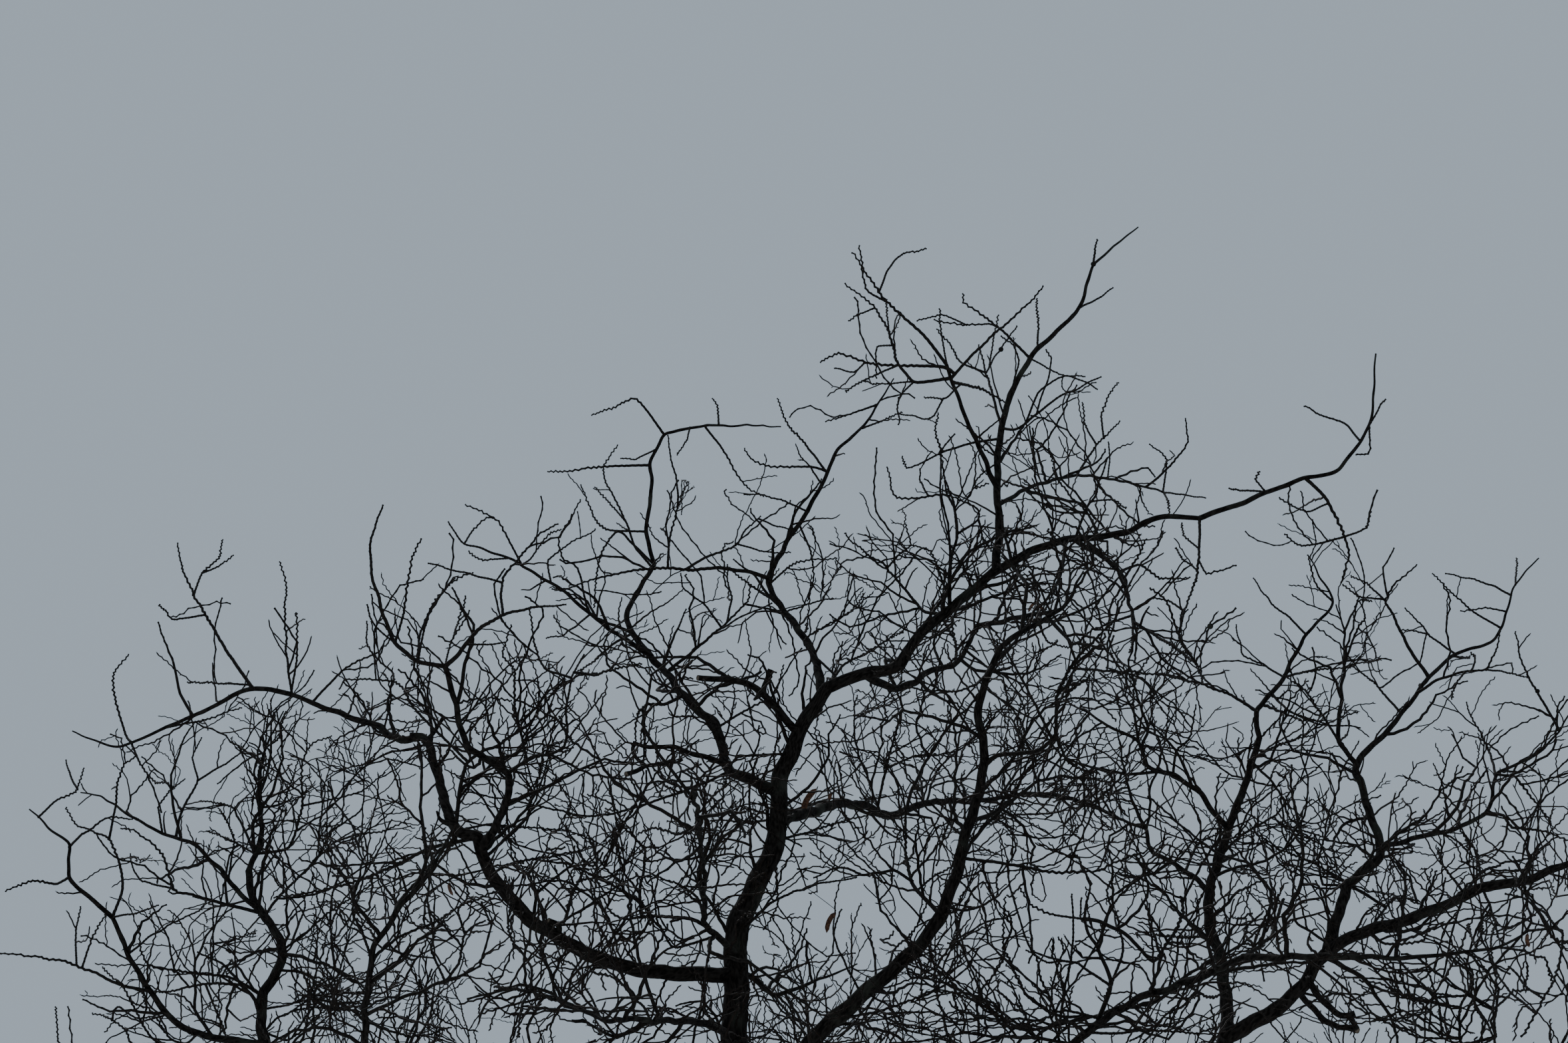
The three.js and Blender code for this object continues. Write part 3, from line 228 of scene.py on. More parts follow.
# Boughs that the picture doesn't show: their bends are x, y, z, and twigs grow to these ends.
hiddenEnds = {
    "bough_far_left": [(-2.9, 3.5, 5.7), (-0.9, 4.6, 5.9), (-1.9, 3.7, 6.2), (-2.6, 4.2, 5),
        (-1.2, 3.9, 4.7), (-2, 3, 6.4)],
    "bough_far": [(-0.4, 4.4, 6.5), (1.3, 4.3, 6.2), (0.3, 3.7, 7), (1.2, 3.6, 5.4),
        (-0.2, 4.4, 5.4)],
    "bough_far_low": [(4.2, 2.7, 5.4), (2.8, 3.9, 5.5), (3.3, 3, 6), (3.9, 2.9, 4.4),
        (2.6, 3.3, 4.4)],
    "bough_near": [(1.7, -3.7, 4.1), (0, -3.9, 4), (0.6, -3.8, 3.4), (1.5, -3.3, 3.5),
        (0.3, -4.6, 3.7)],
    "bough_near_low": [(4.5, -1.8, 4.6), (3.4, -3.2, 4.2), (4, -2.4, 3.6), (3, -2.6, 3.7)],
}
grownFromTip = ("stem_centre", "arm_upper_right", "limb_left_outer")

# Side boughs and shoots, by the limb they leave: diameter at the foot in mm, how far the tip
# drifts away in metres, then across and up by turns, in cm on the board: the place where the
# side bough starts, and the steps from there to each of its bends.
sideRows = {
    "leader_top": [
        (16, -0.3, 186, 155, 1, 7, 1, 8), (14, 0.3, 177, 128, 11, 6, 10, 6),
        (14, 0.3, 149, 103, 4, 17, -1, 8, 0, 6),
        (18, -0.3, 148, 102, -14, 10, -12, 10, -14, 10, 0, 5),
        (12, -0.2, 128, 115, -5, 4, -13, -1, -20, 3), (11, -0.3, 110, 118, -14, 6, -16, -3),
        (20, 0.4, 132, 58, -7, 20, -3, 10, -5, 18), (12, 0.3, 122, 89, 8, 15, 10, 14),
        (11, 0.2, 123, 94, 3, 16, 3, 14), (14, 0.3, 122, 89, -16, 7, -6, 10, -8, 10),
        (12, -0.3, 136, 78, 5, 19, -4, 10, -7, 4), (18, -0.4, 132, 54, 9, 2, 23, 18, 27, 13),
        (14, -0.2, 144, 59, 9, 18, 17, 11, 19, -8), (11, 0.2, 149, 96, 19, -8, 13, -1),
        (16, 0.4, 130, 52, -22, -6, -12, -4, -5, 12, 2, 11), (12, 0.2, 96, 42, -21, -10, -4, 7),
        (11, -0.3, 127, 35, -11, -9, -1, -6, 8, 3), (11, 0.2, 128, 38, -8, 6, -5, 6),
    ],
    "leader_top_left": [
        (22, 0.5, 104, 85, 14, -5, 15, -8),
        (22, 0.4, 103, 86, -25, -2, -11, 14, -4, 16, -10, 16, -16, 13),
        (20, -0.4, 103, 86, 10, 14, 15, 14, 20, 18, 8, 10),
        (14, -0.2, 62, 131, -12, 8, -4, 16, -5, 7), (14, 0.3, 58, 138, 6, 16, 8, 7, 14, 3),
        (22, -0.4, 102, 89, -6, 4, -30, 1, -14, 1, -19, 6, -11, -5),
        (12, 0.2, 50, 94, -8, -4, -12, 2), (13, -0.3, 68, 94, -20, -9, -11, -7),
        (12, 0.2, 64, 107, -8, -2, -1, -9, 1, -10), (11, 0.2, 53, 128, -9, -4, -5, -3),
        (11, 0.3, 79, 84, -23, -1, -8, 1), (12, -0.3, 78, 83, -9, -9, 0, -16),
        (13, 0.4, 106, 81, -10, -7, -12, 1), (12, 0.4, 96, 74, -8, -12, -19, 3),
        (12, 0.2, 99, 100, -5, 17, 0, 11), (11, 0.2, 59, 112, 3, 14, -1, 8),
    ],
    "bough_mid_right": [
        (16, 0.3, 176, 28, 12, 18, 14, 14), (13, 0.2, 188, 46, -7, 12, -1, 14),
        (13, 0.2, 192, 51, -1, 13, 5, 13, 5, 7), (16, -0.3, 218, 22, 11, 8, 14, 18, -2, 14),
        (13, 0.2, 228, 18, 2, 19, -10, 10), (13, -0.3, 228, 18, 3, -6, 1, -10),
        (11, 0.2, 165, 27, -4, 11, -2, 6), (10, -0.2, 193, 26, 3, 12, -1, 10),
    ],
    "bough_inner_top": [
        (16, 0.3, 26, 31, -16, 19, -8, 8, -6, 16),
        (16, -0.3, 25, 30, -9, 3, -24, 0, -11, 4, -5, 7), (13, 0.3, 47, 56, 13, 5, 11, 5),
        (14, 0.2, 54, 67, -16, -3, -13, -4), (13, -0.3, 14, 8, -18, 6, -20, 3),
        (26, -0.6, -10, -34, -12, 4, -18, 2, -16, -1, -14, 1, -18, -1, -24, -5, -20, -7),
        (16, 0.2, -70, -28, 1, 16, 5, 20, 6, 16), (14, -0.1, -64, 8, 0, 12, -6, 32),
        (18, 0.3, -60, -28, 12, 6, 18, 7, 7, 10, 9, 8), (12, 0.2, -15, 2, 9, -4, 14, -4),
        (12, 0.2, -28, -15, 16, -3, 16, -1), (16, 0.3, -3, -48, -9, 4, -14, 10, -8, 7),
        (14, 0.3, -6, -38, 8, 10, 8, 4, 22, 2), (14, 0.3, 8, -2, 8, -16, 2, -16, -4, -14),
    ],
    "limb_left_inner": [
        (16, -0.3, -72, 52, -10, 14, -8, 8, -14, -6, -12, -4),
        (18, 0.3, -80, 34, -30, -1, -22, -3, -10, 0),
        (16, 0.3, -84, -26, -5, 10, -7, 18, -12, 24, 0, 8, 8, 12),
        (12, -0.3, -78, 45, -10, -7, -10, 0), (15, 0.4, -48, 58, 12, -16, 12, -20, 12, -7),
        (13, 0.1, -40, 59, 0, 10, -3, 5), (11, -0.2, -56, 56, -3, -8, -5, -8),
        (15, 0.3, -83, -6, -23, 1, -8, 7, -8, 20), (12, 0.3, -95, -1, -9, 11, -10, 11),
        (16, -0.4, -78, -27, -22, 21, -10, -14, -3, -14, -1, -18),
        (22, -0.5, -68, -88, 18, 14, 14, 12, 14, 14, 2, 10),
        (14, -0.2, -38, -62, -10, 12, -12, 10, -2, 9), (14, 0.2, -34, -60, 2, 14, -2, 12, 0, 8),
        (14, 0.5, -22, -51, 22, -3, 20, 6, 10, 2),
        (24, -0.5, -60, -104, -12, -6, -10, 0, -6, -6, -2, -18),
        (18, -0.6, -32, -150, -20, -9, -20, -7, -28, -9, -20, -2, -28, 6, -24, 5, -24, 4),
        (18, 0.5, -32, -152, 24, -12, 2, -8), (18, 0.5, -92, -68, -14, -8, -10, -10, -8, -4),
        (16, 0.3, -42, -124, 18, 10, 18, 10, 6, 18),
    ],
    "bough_left_upper": [
        (12, 0.2, -190, -14, 3, 9, 8, 7, 5, 0),
        (14, -0.2, -162, -26, 0, 8, -10, 18, -10, 6, -10, 4), (12, 0.2, -164, -25, -18, 2, -8, 5),
        (13, 0.3, -144, -32, 2, 8, 10, 9, 19, 10),
        (14, -0.3, -110, -46, -14, 18, -9, 6, -2, 12, 13, 23),
        (14, 0.4, -114, -54, -10, -8, -8, -6, -11, -2), (12, 0.3, -156, -29, 4, 7, 10, 14, 8, 3),
    ],
    "limb_left_riser": [
        (30, -0.5, -204, -88, 8, 8, 9, 12, 9, 7, 9, 5, 17, 4, 21, 2),
        (18, 0.3, -169, -56, -1, 10, 1, 12, 11, 14, 12, 13, 10, 5),
        (14, 0.2, -169, -38, -17, 6, -10, 2, -18, 5), (13, 0.1, -190, -76, 10, 2, 12, 1),
        (16, 0.2, -233, -74, 4, 18, 3, 22, 3, 14, 5, 10), (12, -0.2, -236, -72, -11, 10, -4, 12),
        (16, 0.4, -220, -83, 1, 15, 9, 20, 12, 13, 11, 4),
        (14, -0.3, -218, -83, 2, 19, 8, 19, 10, 11), (12, 0.2, -204, -86, 4, 14, 11, 18),
        (12, 0.3, -196, -71, 0, 11, 5, 15),
        (22, -0.5, -166, -152, 14, 10, 20, 6, 1, 22, 3, 20, 8, 14),
        (16, 0.3, -130, -94, -14, 6, -6, 14, -3, 22), (18, 0.4, -128, -92, 16, 0, 12, 4, 14, 2),
        (18, 0.5, -164, -126, 2, 16, 0, 20, -7, 10, 5, 18),
        (16, 0.4, -190, -130, -6, 20, 20, 4, 12, -2), (16, -0.3, -193, -120, 9, 10, 6, 4),
    ],
    "limb_left_outer": [
        (24, 0.3, -322, -99, -12, 19, -14, 24, -7, 12, -7, 16, -3, 15),
        (14, -0.3, -348, -57, -19, -2, -5, 6, -4, 3), (14, 0.4, -356, -44, 6, 13, 10, 9, 2, 11),
        (12, 0.2, -350, -31, 10, 4, 9, 7), (16, 0.3, -297, -102, -2, 22, -1, 30, 1, 10, -4, 16),
        (14, -0.3, -295, -102, 2, 20, 0, 24, -1, 3), (14, 0.4, -324, -99, -24, 2, -11, 0),
        (14, 0.3, -372, -124, 24, 5, 22, 7), (16, 0.3, -392, -131, -4, 3, -7, 24, 0, 13, 9, 11),
        (14, -0.4, -389, -132, 2, -14, 9, -11, 8, 0),
        (16, -0.2, -282, -107, 16, 17, 12, 7, 10, 5, 8, 12),
    ],
    "limb_left": [
        (26, 0.8, -196, -184, -16, -12, -20, -10, -24, -10, -28, -7, -23, -3),
        (28, -0.7, -205, -153, 13, 6, 20, 13, 16, 10, 10, 12, 14, 18),
        (18, 0.5, -212, -128, -10, 15, -6, 11, -7, 6, -17, 1, -12, 0, -3, -6),
        (14, 0.3, -235, -97, -1, 7, -14, 14, -1, 16), (18, 0.6, -172, -210, 10, 5, 30, 5, 20, 6),
        (26, 0.7, -143, -243, 11, 3, 4, 14, 5, 10, 13, 2, 12, 2),
        (18, 0.3, -123, -216, 3, 10, -5, 12, -7, 12),
        (20, -0.5, -110, -256, 10, 10, 8, 14, -6, 14, -12, 12, -6, 16),
        (22, 0.6, -174, -202, 18, 22, 4, 14, 6, 16, 2, 16),
        (18, 0.4, -202, -164, 18, 10, 16, 4, 16, -2), (15, 0.4, -192, -186, 16, 4, 20, -2, 28, -2),
        (24, -0.6, -48, -276, 0, -14, 4, -10, 8, -6),
    ],
    "bough_near_centre": [
        (26, -0.5, -44, -242, -12, 3, -26, 2, -14, -2, -8, 4, -6, 11),
        (22, 0.4, -85, -237, -2, 13, 3, 18, 0, 10, -12, 12, -6, 13, -16, 7),
        (20, 0.3, -48, -238, -4, 12, -12, 8, -10, 3),
        (18, -0.5, -56, -266, -10, 10, -10, 16, -2, 14), (16, 0.5, -49, -206, 7, 8, 12, 2),
        (18, 0.4, -52, -182, -12, -6, -14, 4, -10, -4),
    ],
    "bough_near_left": [
        (20, -0.4, -154, -282, -4, -10, -2, -18),
        (18, 0.4, -152, -281, 0, 13, -9, 12, -5, 12, 2, 16),
        (18, 0.4, -80, -304, -6, 14, -18, 16, -16, 4),
        (16, -0.4, -132, -286, 5, 14, 7, 10, 14, 14),
        (15, 0.4, -110, -298, -10, 20, -8, 12, -12, 4),
    ],
    "bough_far_right": [
        (18, 0.6, 60, -168, -10, 16, -6, 14, -2, 24, 2, 9),
        (18, -0.5, 61, -168, 1, 22, 6, 22, 4, 14), (16, 0.5, 86, -168, 6, 18, 12, 12, 12, 6),
        (15, -0.5, 66, -150, 10, 8, 12, 2, 16, -2),
        (18, 0.7, 128, -164, 12, 14, 4, 16, -4, 16, 10, 14), (15, -0.5, 88, -168, 12, -14, 10, -8),
    ],
    "stem_near_right": [
        (30, 0.8, 93, -236, -13, 14, -6, 16, -1, 20, 0, 12),
        (24, 0.4, 73, -175, 5, 16, 14, 26, 12, 15, 12, 12, 8, 16),
        (20, -0.5, 77, -216, -11, 6, -18, -2, -16, 4, -14, -7), (15, 0.4, 80, -222, 12, 10, 14, 6),
        (18, -0.6, 34, -304, 22, 9, 32, 12, 16, -1, 16, -6),
        (15, 0.4, 104, -284, -6, 12, -10, 10, 0, 8), (15, -0.4, 44, -282, -11, 24, -3, 10, 5, 15),
        (28, 0.7, 114, -182, 10, 6, 12, 8, 16, 11, 16, 4, 16, -2, 22, -2),
        (22, -0.7, 112, -204, 16, -1, 36, -6, 24, 1, 16, 7, 14, 5),
        (18, 0.4, 100, -232, 10, -2, 18, 8, 0, 12, 4, 9),
        (30, -0.6, 119, -148, 9, 7, 24, 3, 11, 10, 1, 22, 8, 18, 12, 14, 14, 14, 10, 22),
        (18, 0.5, 172, -88, 20, -2, 24, -1, 22, -3), (18, 0.4, 164, -130, 8, -16, 18, -6),
        (15, 0.4, 164, -110, 12, 4, 12, -2, 12, -12),
        (15, -0.5, 128, -86, -12, -12, -16, -4, -28, 2),
        (16, 0.5, 60, -270, 6, 12, 12, 12, 10, 20), (14, -0.4, 48, -282, 16, -10, 10, -14),
        (15, 0.4, 72, -262, 4, -12, 20, 2, 12, 6),
    ],
    "stem_centre": [
        (17, 0.6, 0, -193, 14, 6, 22, 7, 20, 5),
        (18, -0.7, -20, -250, 12, 20, 16, 8, 18, 5, 18, 3),
        (36, 0.9, -24, -267, 10, -11, 8, -7, 14, 4, 16, 7, 20, 8),
        (18, -0.6, -6, -285, 10, -13, 10, -12), (18, 0.6, -8, -182, 3, -24, 1, -24, -8, -16),
        (16, -0.6, -16, -130, -12, -12, -8, -16, -2, -28),
        (18, 0.7, 14, -90, 22, 4, 12, 6, 16, 10, 8, 4), (16, 0.5, 14, -80, -2, 8, 28, 18, 8, 10),
    ],
    "arm_upper_right": [
        (22, 0.5, 94, -52, -10, -2, -8, 9, -14, 17, -14, 10, -12, 11),
        (14, 0.2, 62, -28, 7, 8, 7, 6, -3, 13), (18, 0.4, 98, -48, -5, 18, -5, 12, -12, 4),
        (26, -0.6, 170, -9, -2, -15, -4, -14, -8, -18), (18, 0.4, 127, -26, 13, 0, 16, -3, 9, -5),
        (18, -0.3, 174, -8, 7, 14, 7, 12, 6, 20), (17, 0.3, 188, -6, -6, 12, -14, 14, -7, 12),
        (14, 0.3, 182, 6, -14, -1, -12, 5, -12, 9), (12, -0.3, 186, 10, 11, 3, 9, -5),
        (19, -0.5, 250, 1, 0, -13, -2, -22, -6, -16, -2, -6),
        (12, -0.2, 249, -24, 5, -7, 10, 2, 8, 3), (12, 0.3, 248, -17, -7, 8, -2, 8),
        (12, 0.3, 248, -28, -8, 6, -5, 6), (14, -0.2, 240, -55, -2, -15, 4, -10),
        (14, 0.2, 240, -54, -8, 6, -10, 2), (24, 0.4, 316, 25, 10, -11, 10, -20, 4, -14, -5, -17),
        (14, 0.3, 336, -8, -18, -6, -9, 0, -7, 6), (14, -0.3, 338, -8, 12, 4, 3, 10),
        (12, 0.3, 328, 9, -14, -3, -16, 8), (14, 0.3, 348, 51, -10, 7, -16, 6, -9, 6),
        (12, -0.2, 356, 59, 2, 9, 4, 5), (12, 0.2, 353, 52, -1, -11, -8, -1),
        (14, 0.3, 288, 18, -14, 1, -6, 1), (12, -0.2, 288, 18, -4, 7, 2, 5),
        (18, 0.5, 68, -80, 12, 14, 16, 6, 8, -2), (16, -0.6, 104, -42, -3, -18, 3, -20, -6, -6),
        (16, -0.4, 128, -24, 16, -14, 20, -6, 12, 2),
    ],
    "bough_spray": [
        (18, 0.3, 104, -8, -1, 12, -5, 12, -18, -2, -13, 1, -5, 18),
        (15, -0.2, 104, -8, 13, 9, -1, 7, -18, 8), (12, -0.2, 98, 16, -3, 20, -2, 10),
        (14, 0.3, 117, 1, 3, -11, 5, -8), (13, 0.2, 88, 14, -6, 10, 0, 8),
    ],
    "bough_droop": [
        (18, 0.4, 204, -28, 10, 2, 12, -8, 18, 0), (16, -0.3, 206, -34, 6, 12, 6, 12),
        (16, 0.3, 208, -48, -8, 10, -12, 8, -12, 2), (17, -0.4, 210, -62, 0, -8, -2, -9),
        (16, 0.4, 208, -56, -20, -8, -16, -12), (18, -0.3, 249, -86, -11, 16, -8, 22, -10, 8),
    ],
    "bough_low_right": [
        (18, 0.4, 104, -88, -1, 16, -7, 12, -4, 8), (18, 0.4, 112, -78, 8, -8, 8, -4, 12, 4),
        (16, -0.4, 152, -58, 6, -14, 14, -4),
    ],
    "stem_right": [
        (34, 0.9, 254, -224, -8, 11, -18, 11, -6, 2, -6, 18, -9, 22, -3, 16, -4, 20),
        (22, 0.5, 216, -184, -12, 4, -14, 7, -18, 4),
        (36, -0.9, 268, -186, -10, 11, -6, 11, -18, 11, -16, 6, -5, 16, -19, 9, -12, 8, -14, 7),
        (18, 0.4, 213, -130, -3, 20, 2, 16, 10, 16), (18, -0.4, 234, -152, 2, 14, 8, 8, 4, 20),
        (18, 0.5, 184, -115, -8, -11, 2, -16), (22, 0.5, 284, -113, -16, 9, -30, 10, -14, 3),
        (20, 0.6, 286, -143, 4, 5, 14, 6, 16, 4), (18, 0.5, 301, -93, 15, 3, 28, 3),
        (17, -0.5, 292, -105, 12, -9, 24, -8), (15, 0.3, 313, -70, -9, 12, -12, 10, -10, 14),
        (14, -0.3, 330, -48, -10, 10, -5, 18), (14, 0.3, 300, -90, -12, 4, -12, 6, -4, 18),
        (22, -0.8, 262, -214, 10, 6, 16, 3, 14, 9, 10, 10, 16, -5),
        (20, 0.6, 246, -202, 3, 8, 15, 8), (18, 0.6, 286, -146, 12, -16, 6, -16, 10, -6),
        (18, 0.5, 262, -202, 14, 14, 20, 12, 12, 18, 16, 12),
        (18, -0.5, 265, -262, 11, 8, 8, -2, 16, -6), (19, 0.5, 256, -250, -16, 0, -16, 2),
    ],
    "bough_right_riser": [
        (30, 0.6, 343, -147, -9, 15, 1, 26, 2, 20, 0, 20, -5, 16),
        (15, 0.3, 337, -66, 9, 18, 8, 0), (16, -0.4, 337, -86, 7, 20, 6, 8, -4, 10),
        (24, -0.4, 388, -93, -12, 17, -10, 20, -4, 8, 5, 10, 14, 12),
        (14, 0.3, 362, -48, -12, 11, -9, 4), (13, -0.3, 360, -48, -14, 3, -10, 7),
        (15, 0.3, 404, -80, -16, 12, -14, 16), (12, 0.2, 388, -69, -8, 3, -10, 1),
        (14, 0.3, 430, -65, -16, 11, -14, 13, -10, 10), (12, 0.2, 433, -55, -11, 3, -15, -2),
        (14, -0.3, 438, -42, -16, 5, -24, 6), (13, 0.3, 440, -41, 1, 19),
        (20, -0.5, 380, -105, 14, 10, 16, 5, 12, 1, 6, 11, 3, 12),
        (13, 0.3, 421, -89, 15, -2, 12, -3), (13, -0.2, 410, -91, -6, -7, -3, -9),
        (34, 0.7, 357, -199, 7, 4, 20, 6, 20, 4, 18, 10, 5, 13, 1, 10, 18, 8, 16, 12, 14, 22),
        (22, 0.4, 422, -175, 11, -2, 5, -7, 18, -2, 22, -8), (18, 0.5, 427, -152, -3, 14, -14, 29),
        (18, -0.4, 428, -152, 12, -2, 13, -16, 9, -12),
        (18, -0.4, 466, -126, -13, 24, -9, 16, -4, 20),
        (18, -0.5, 333, -134, -11, 20, -8, 12, -14, 10), (16, 0.5, 370, -116, -16, 20, -14, 10),
    ],
    "arm_right": [
        (22, 0.5, 408, -223, 10, 11, 16, 7, 20, 3), (19, -0.5, 353, -248, 9, -6, 22, 2, 6, 16),
        (18, 0.6, 342, -218, 26, -8, 17, -5), (20, 0.7, 342, -216, -22, 10, -20, 8, -24, 16),
        (18, -0.5, 332, -234, -8, 16, -2, 16, 6, 20, 4, 16),
        (18, 0.5, 380, -230, -4, 16, -12, 12, -16, 0), (18, -0.5, 408, -224, -12, 18, -2, 10),
        (18, 0.4, 424, -220, -8, 22, -12, 16), (18, 0.5, 328, -254, -20, 14, -2, 18, 4, 20, 8, 16),
        (18, -0.5, 426, -226, 1, -12, 2, -9, 3, -7),
        (18, 0.3, 318, -290, 4, 4, 8, 2, 5, -1, 7, -3),
    ],
    "bough_near_right": [
        (28, 0.5, 277, -262, 11, 8, 7, 8, 5, 19),
        (32, -0.5, 188, -300, 9, 24, -9, 20, -8, 17, 4, 15, 1, 6),
        (26, 0.5, 180, -239, 12, -2, 16, -9, 14, -15, 12, 17, 6, 12, -1, 10),
        (15, 0.3, 181, -239, -21, 3, -12, 6, -6, 10),
        (18, 0.5, 197, -278, 7, 20, -4, 20, -6, 16, 10, 16), (18, -0.5, 240, -276, 16, -10, 12, 4),
        (18, 0.4, 208, -290, 16, -12, 20, -4), (18, -0.4, 188, -298, -20, 4, -16, -8, -16, -2),
        (16, 0.4, 372, -266, 16, -16, 16, -4), (16, 0.4, 408, -259, 6, -15, 0, -12, 14, -24),
        (16, -0.4, 464, -224, 4, -22, -4, -28, -20, -36), (15, 0.4, 184, -218, -8, 16, -8, 12),
        (24, -0.4, 170, -312, -22, 2, -20, 0, -8, 2, -16, 0, -8, -2, -8, -4),
        (20, -0.5, 183, -300, -15, -2, -20, -4, -16, 3, -4, 5, -1, 8, -11, 4, -15, 7, -11, 6,
         -16, 7), (16, -0.3, 90, -273, 4, 9, 8, 13, 4, 6),
        (16, 0.3, 98, -311, -2, 14, -4, 12, -2, 11),
        (20, 0.4, 184, -298, -16, 0, -10, 4, -12, 9, -6, 11, -4, 10, -4, 8, 0, 10, 1, 20),
        (16, -0.3, 133, -256, 3, 8, 1, 8, -3, 6),
        (18, -0.4, 166, -302, -6, 16, -6, 12, -2, 12, -3, 6, -1, 10),
        (16, 0.3, 164, -310, -4, 16, 2, 16, 2, 8, 4, 12, -3, 8),
        (18, -0.4, 168, -310, 0, 24, 2, 12, 3, 12, 1, 12, 0, 26),
        (18, 0.4, 190, -278, -10, 10, -6, 3, -16, 0, -6, 4, -6, 3),
        (18, 0.4, 116, -309, 1, 7, -1, 14, 4, 8, 8, 10, 6, 11),
        (16, -0.3, 108, -309, 1, 9, -5, 8, -2, 8), (16, 0.3, 140, -306, 6, 8, -4, 6, -3, 2),
        (18, 0.5, 249, -274, -1, -9, -8, -8, -11, -7, -9, -8, -12, -7),
        (18, -0.4, 184, -310, 16, 2, 16, 2, 24, -1, 8, -1, 12, 4),
        (18, 0.3, 428, -310, -2, 16, -12, 9, -10, 5, -8, 6, -8, 6, -8, 6),
        (20, 0.3, 428, -310, -20, -4, -2, 12, 1, 10, 5, 10, 2, 11, -4, 9),
        (15, 0.3, 426, -294, 7, 6, 6, 6, 5, 0, 3, 8, 0, 8),
        (15, 0.3, 452, -296, -8, 7, -8, 7, -6, 8, -4, 8),
        (15, -0.3, 456, -288, -8, 7, -6, 7, -6, 7),
        (16, 0.4, 407, -292, -15, 2, -12, 4, -12, 2, -8, 6, -14, 2),
        (16, 0.4, 408, -286, -14, 0, -10, -3, -10, 3, -6, 6, -4, 8),
        (15, -0.3, 406, -304, -14, 6, -8, 8, -8, 6, -4, 8, -2, 6),
        (15, -0.3, 405, -310, -17, 4, -16, 8, -2, 8, -2, 14, -2, 10, -3, 4),
        (15, 0.3, 405, -312, -25, 2, -8, 4, -16, 8, -5, 7, -5, 5),
        (15, 0.3, 398, -314, -4, 24, -6, 16, -2, 12),
        (14, -0.3, 428, -312, -8, -2, 0, 14, -4, 10, 1, 20),
        (15, 0.3, 426, -294, 2, 12, 0, 12, -3, 12), (14, 0.3, 412, -256, 1, 8, -2, 6),
        (14, -0.3, 418, -256, 2, 10, -1, 8), (14, 0.2, 422, -256, 4, 10, 2, 8),
        (16, 0.4, 466, -236, -8, 0, -8, 6, -6, 4, -10, 2),
        (16, 0.4, 448, -234, 8, -4, 4, -6, 2, -6, 10, -4),
        (15, 0.4, 434, -255, 10, -3, 8, -4, 6, -1, 2, -7, 3, -8),
    ],
    "stem_left": [
        (22, 0.5, -318, -200, 4, 5, -2, 27, 0, 18, 4, 15, 2, 22),
        (14, -0.3, -312, -136, 8, 6, 4, 16),
        (20, -0.4, -318, -200, 20, 4, 8, 25, 0, 25, 6, 12, 12, 5),
        (16, 0.3, -314, -171, 12, 1, 6, 14, 4, 12), (14, 0.3, -290, -171, 14, 3, 20, 5, 16, 12),
        (15, 0.5, -318, -200, -16, 9, -13, 5),
        (32, 0.7, -311, -239, -13, 13, -23, 24, -11, 10, -16, 5, -18, 10, -12, 7, -8, 5, -11, 2),
        (18, 0.4, -366, -189, 3, 13, 10, 20, -3, 14, 6, 12), (14, -0.3, -353, -156, 21, 13, 10, 8),
        (14, 0.3, -374, -187, -2, 15, 6, 10, 10, 7),
        (24, -0.6, -314, -234, -18, 3, -26, 7, -9, 3, -7, 21, -16, 14, -9, 1),
        (14, 0.3, -367, -221, -19, 5, -6, 8, -1, 8),
        (24, 0.7, -315, -285, -9, 6, -24, 1, -24, -5, -10, 1),
        (20, -0.5, -315, -283, -19, 9, -45, 6, -8, 10, -1, 15),
        (26, -0.7, -301, -259, 11, -3, 20, -7, 16, -10, 5, -7),
        (18, 0.5, -318, -200, -14, 28, -20, 4), (14, 0.5, -334, -214, 3, 24, -9, 18),
        (20, 0.6, -312, -238, 8, 12, 12, 12, 20, 20, 20, 12),
        (14, 0.3, -284, -222, 4, 20, 8, 16, 18, 14, 2, 38),
        (18, -0.4, -306, -268, 18, -4, 6, -6, 10, -12, 22, 2),
        (16, 0.5, -348, -278, 8, -20, 6, -16), (14, -0.4, -272, -191, 16, 3, 16, 2, 16, 8),
        (15, 0.3, -315, -310, 11, 12, 20, 6, 28, -2), (16, 0.4, -330, -304, -10, 2, -12, 4, -7, 6),
        (24, -0.4, -312, -314, 16, -8, 12, 8, 1, 16, 0, 14, -5, 10, -6, 12),
        (18, -0.3, -283, -284, 3, 5, 8, 4), (18, 0.4, -283, -286, 11, -3, 18, -1, 6, 0),
        (18, -0.3, -283, -288, 11, -5, 12, -1, 11, -2),
        (16, 0.4, -312, -306, 12, -6, 8, 4, 10, 10, 10, 6),
        (16, 0.4, -312, -294, 16, 4, 12, 6, 12, -2),
        (14, 0.4, -344, -278, 0, 16, 1, 16, -1, 16, -1, 8, -4, 8),
        (14, 0.3, -343, -254, 11, 2, 10, 4, 4, 0),
        (16, -0.4, -300, -258, 12, 10, 8, 8, 8, 6, 12, 8, 12, 8),
        (16, 0.4, -298, -252, 6, 10, 4, 10, -2, 10),
        (18, 0.4, -270, -268, -2, 14, -1, 12, -7, 12, -2, 12),
        (16, -0.3, -273, -242, 1, 16, 4, 12, 4, 8),
    ],
    "bough_left_outer": [
        (17, 0.4, -430, -196, 8, 8, 16, 10, 14, -1),
        (18, -0.4, -428, -216, -10, -2, -14, 2, -16, -6),
        (20, 0.5, -403, -237, 5, 15, -1, 14, -7, 17, -10, 5, -10, 4, -6, 10),
        (16, 0.4, -405, -191, 3, 21, 1, 12, 4, 12, 7, 5, -7, 7),
        (22, -0.6, -380, -282, -20, 4, -28, 12, -20, 4, -28, 3),
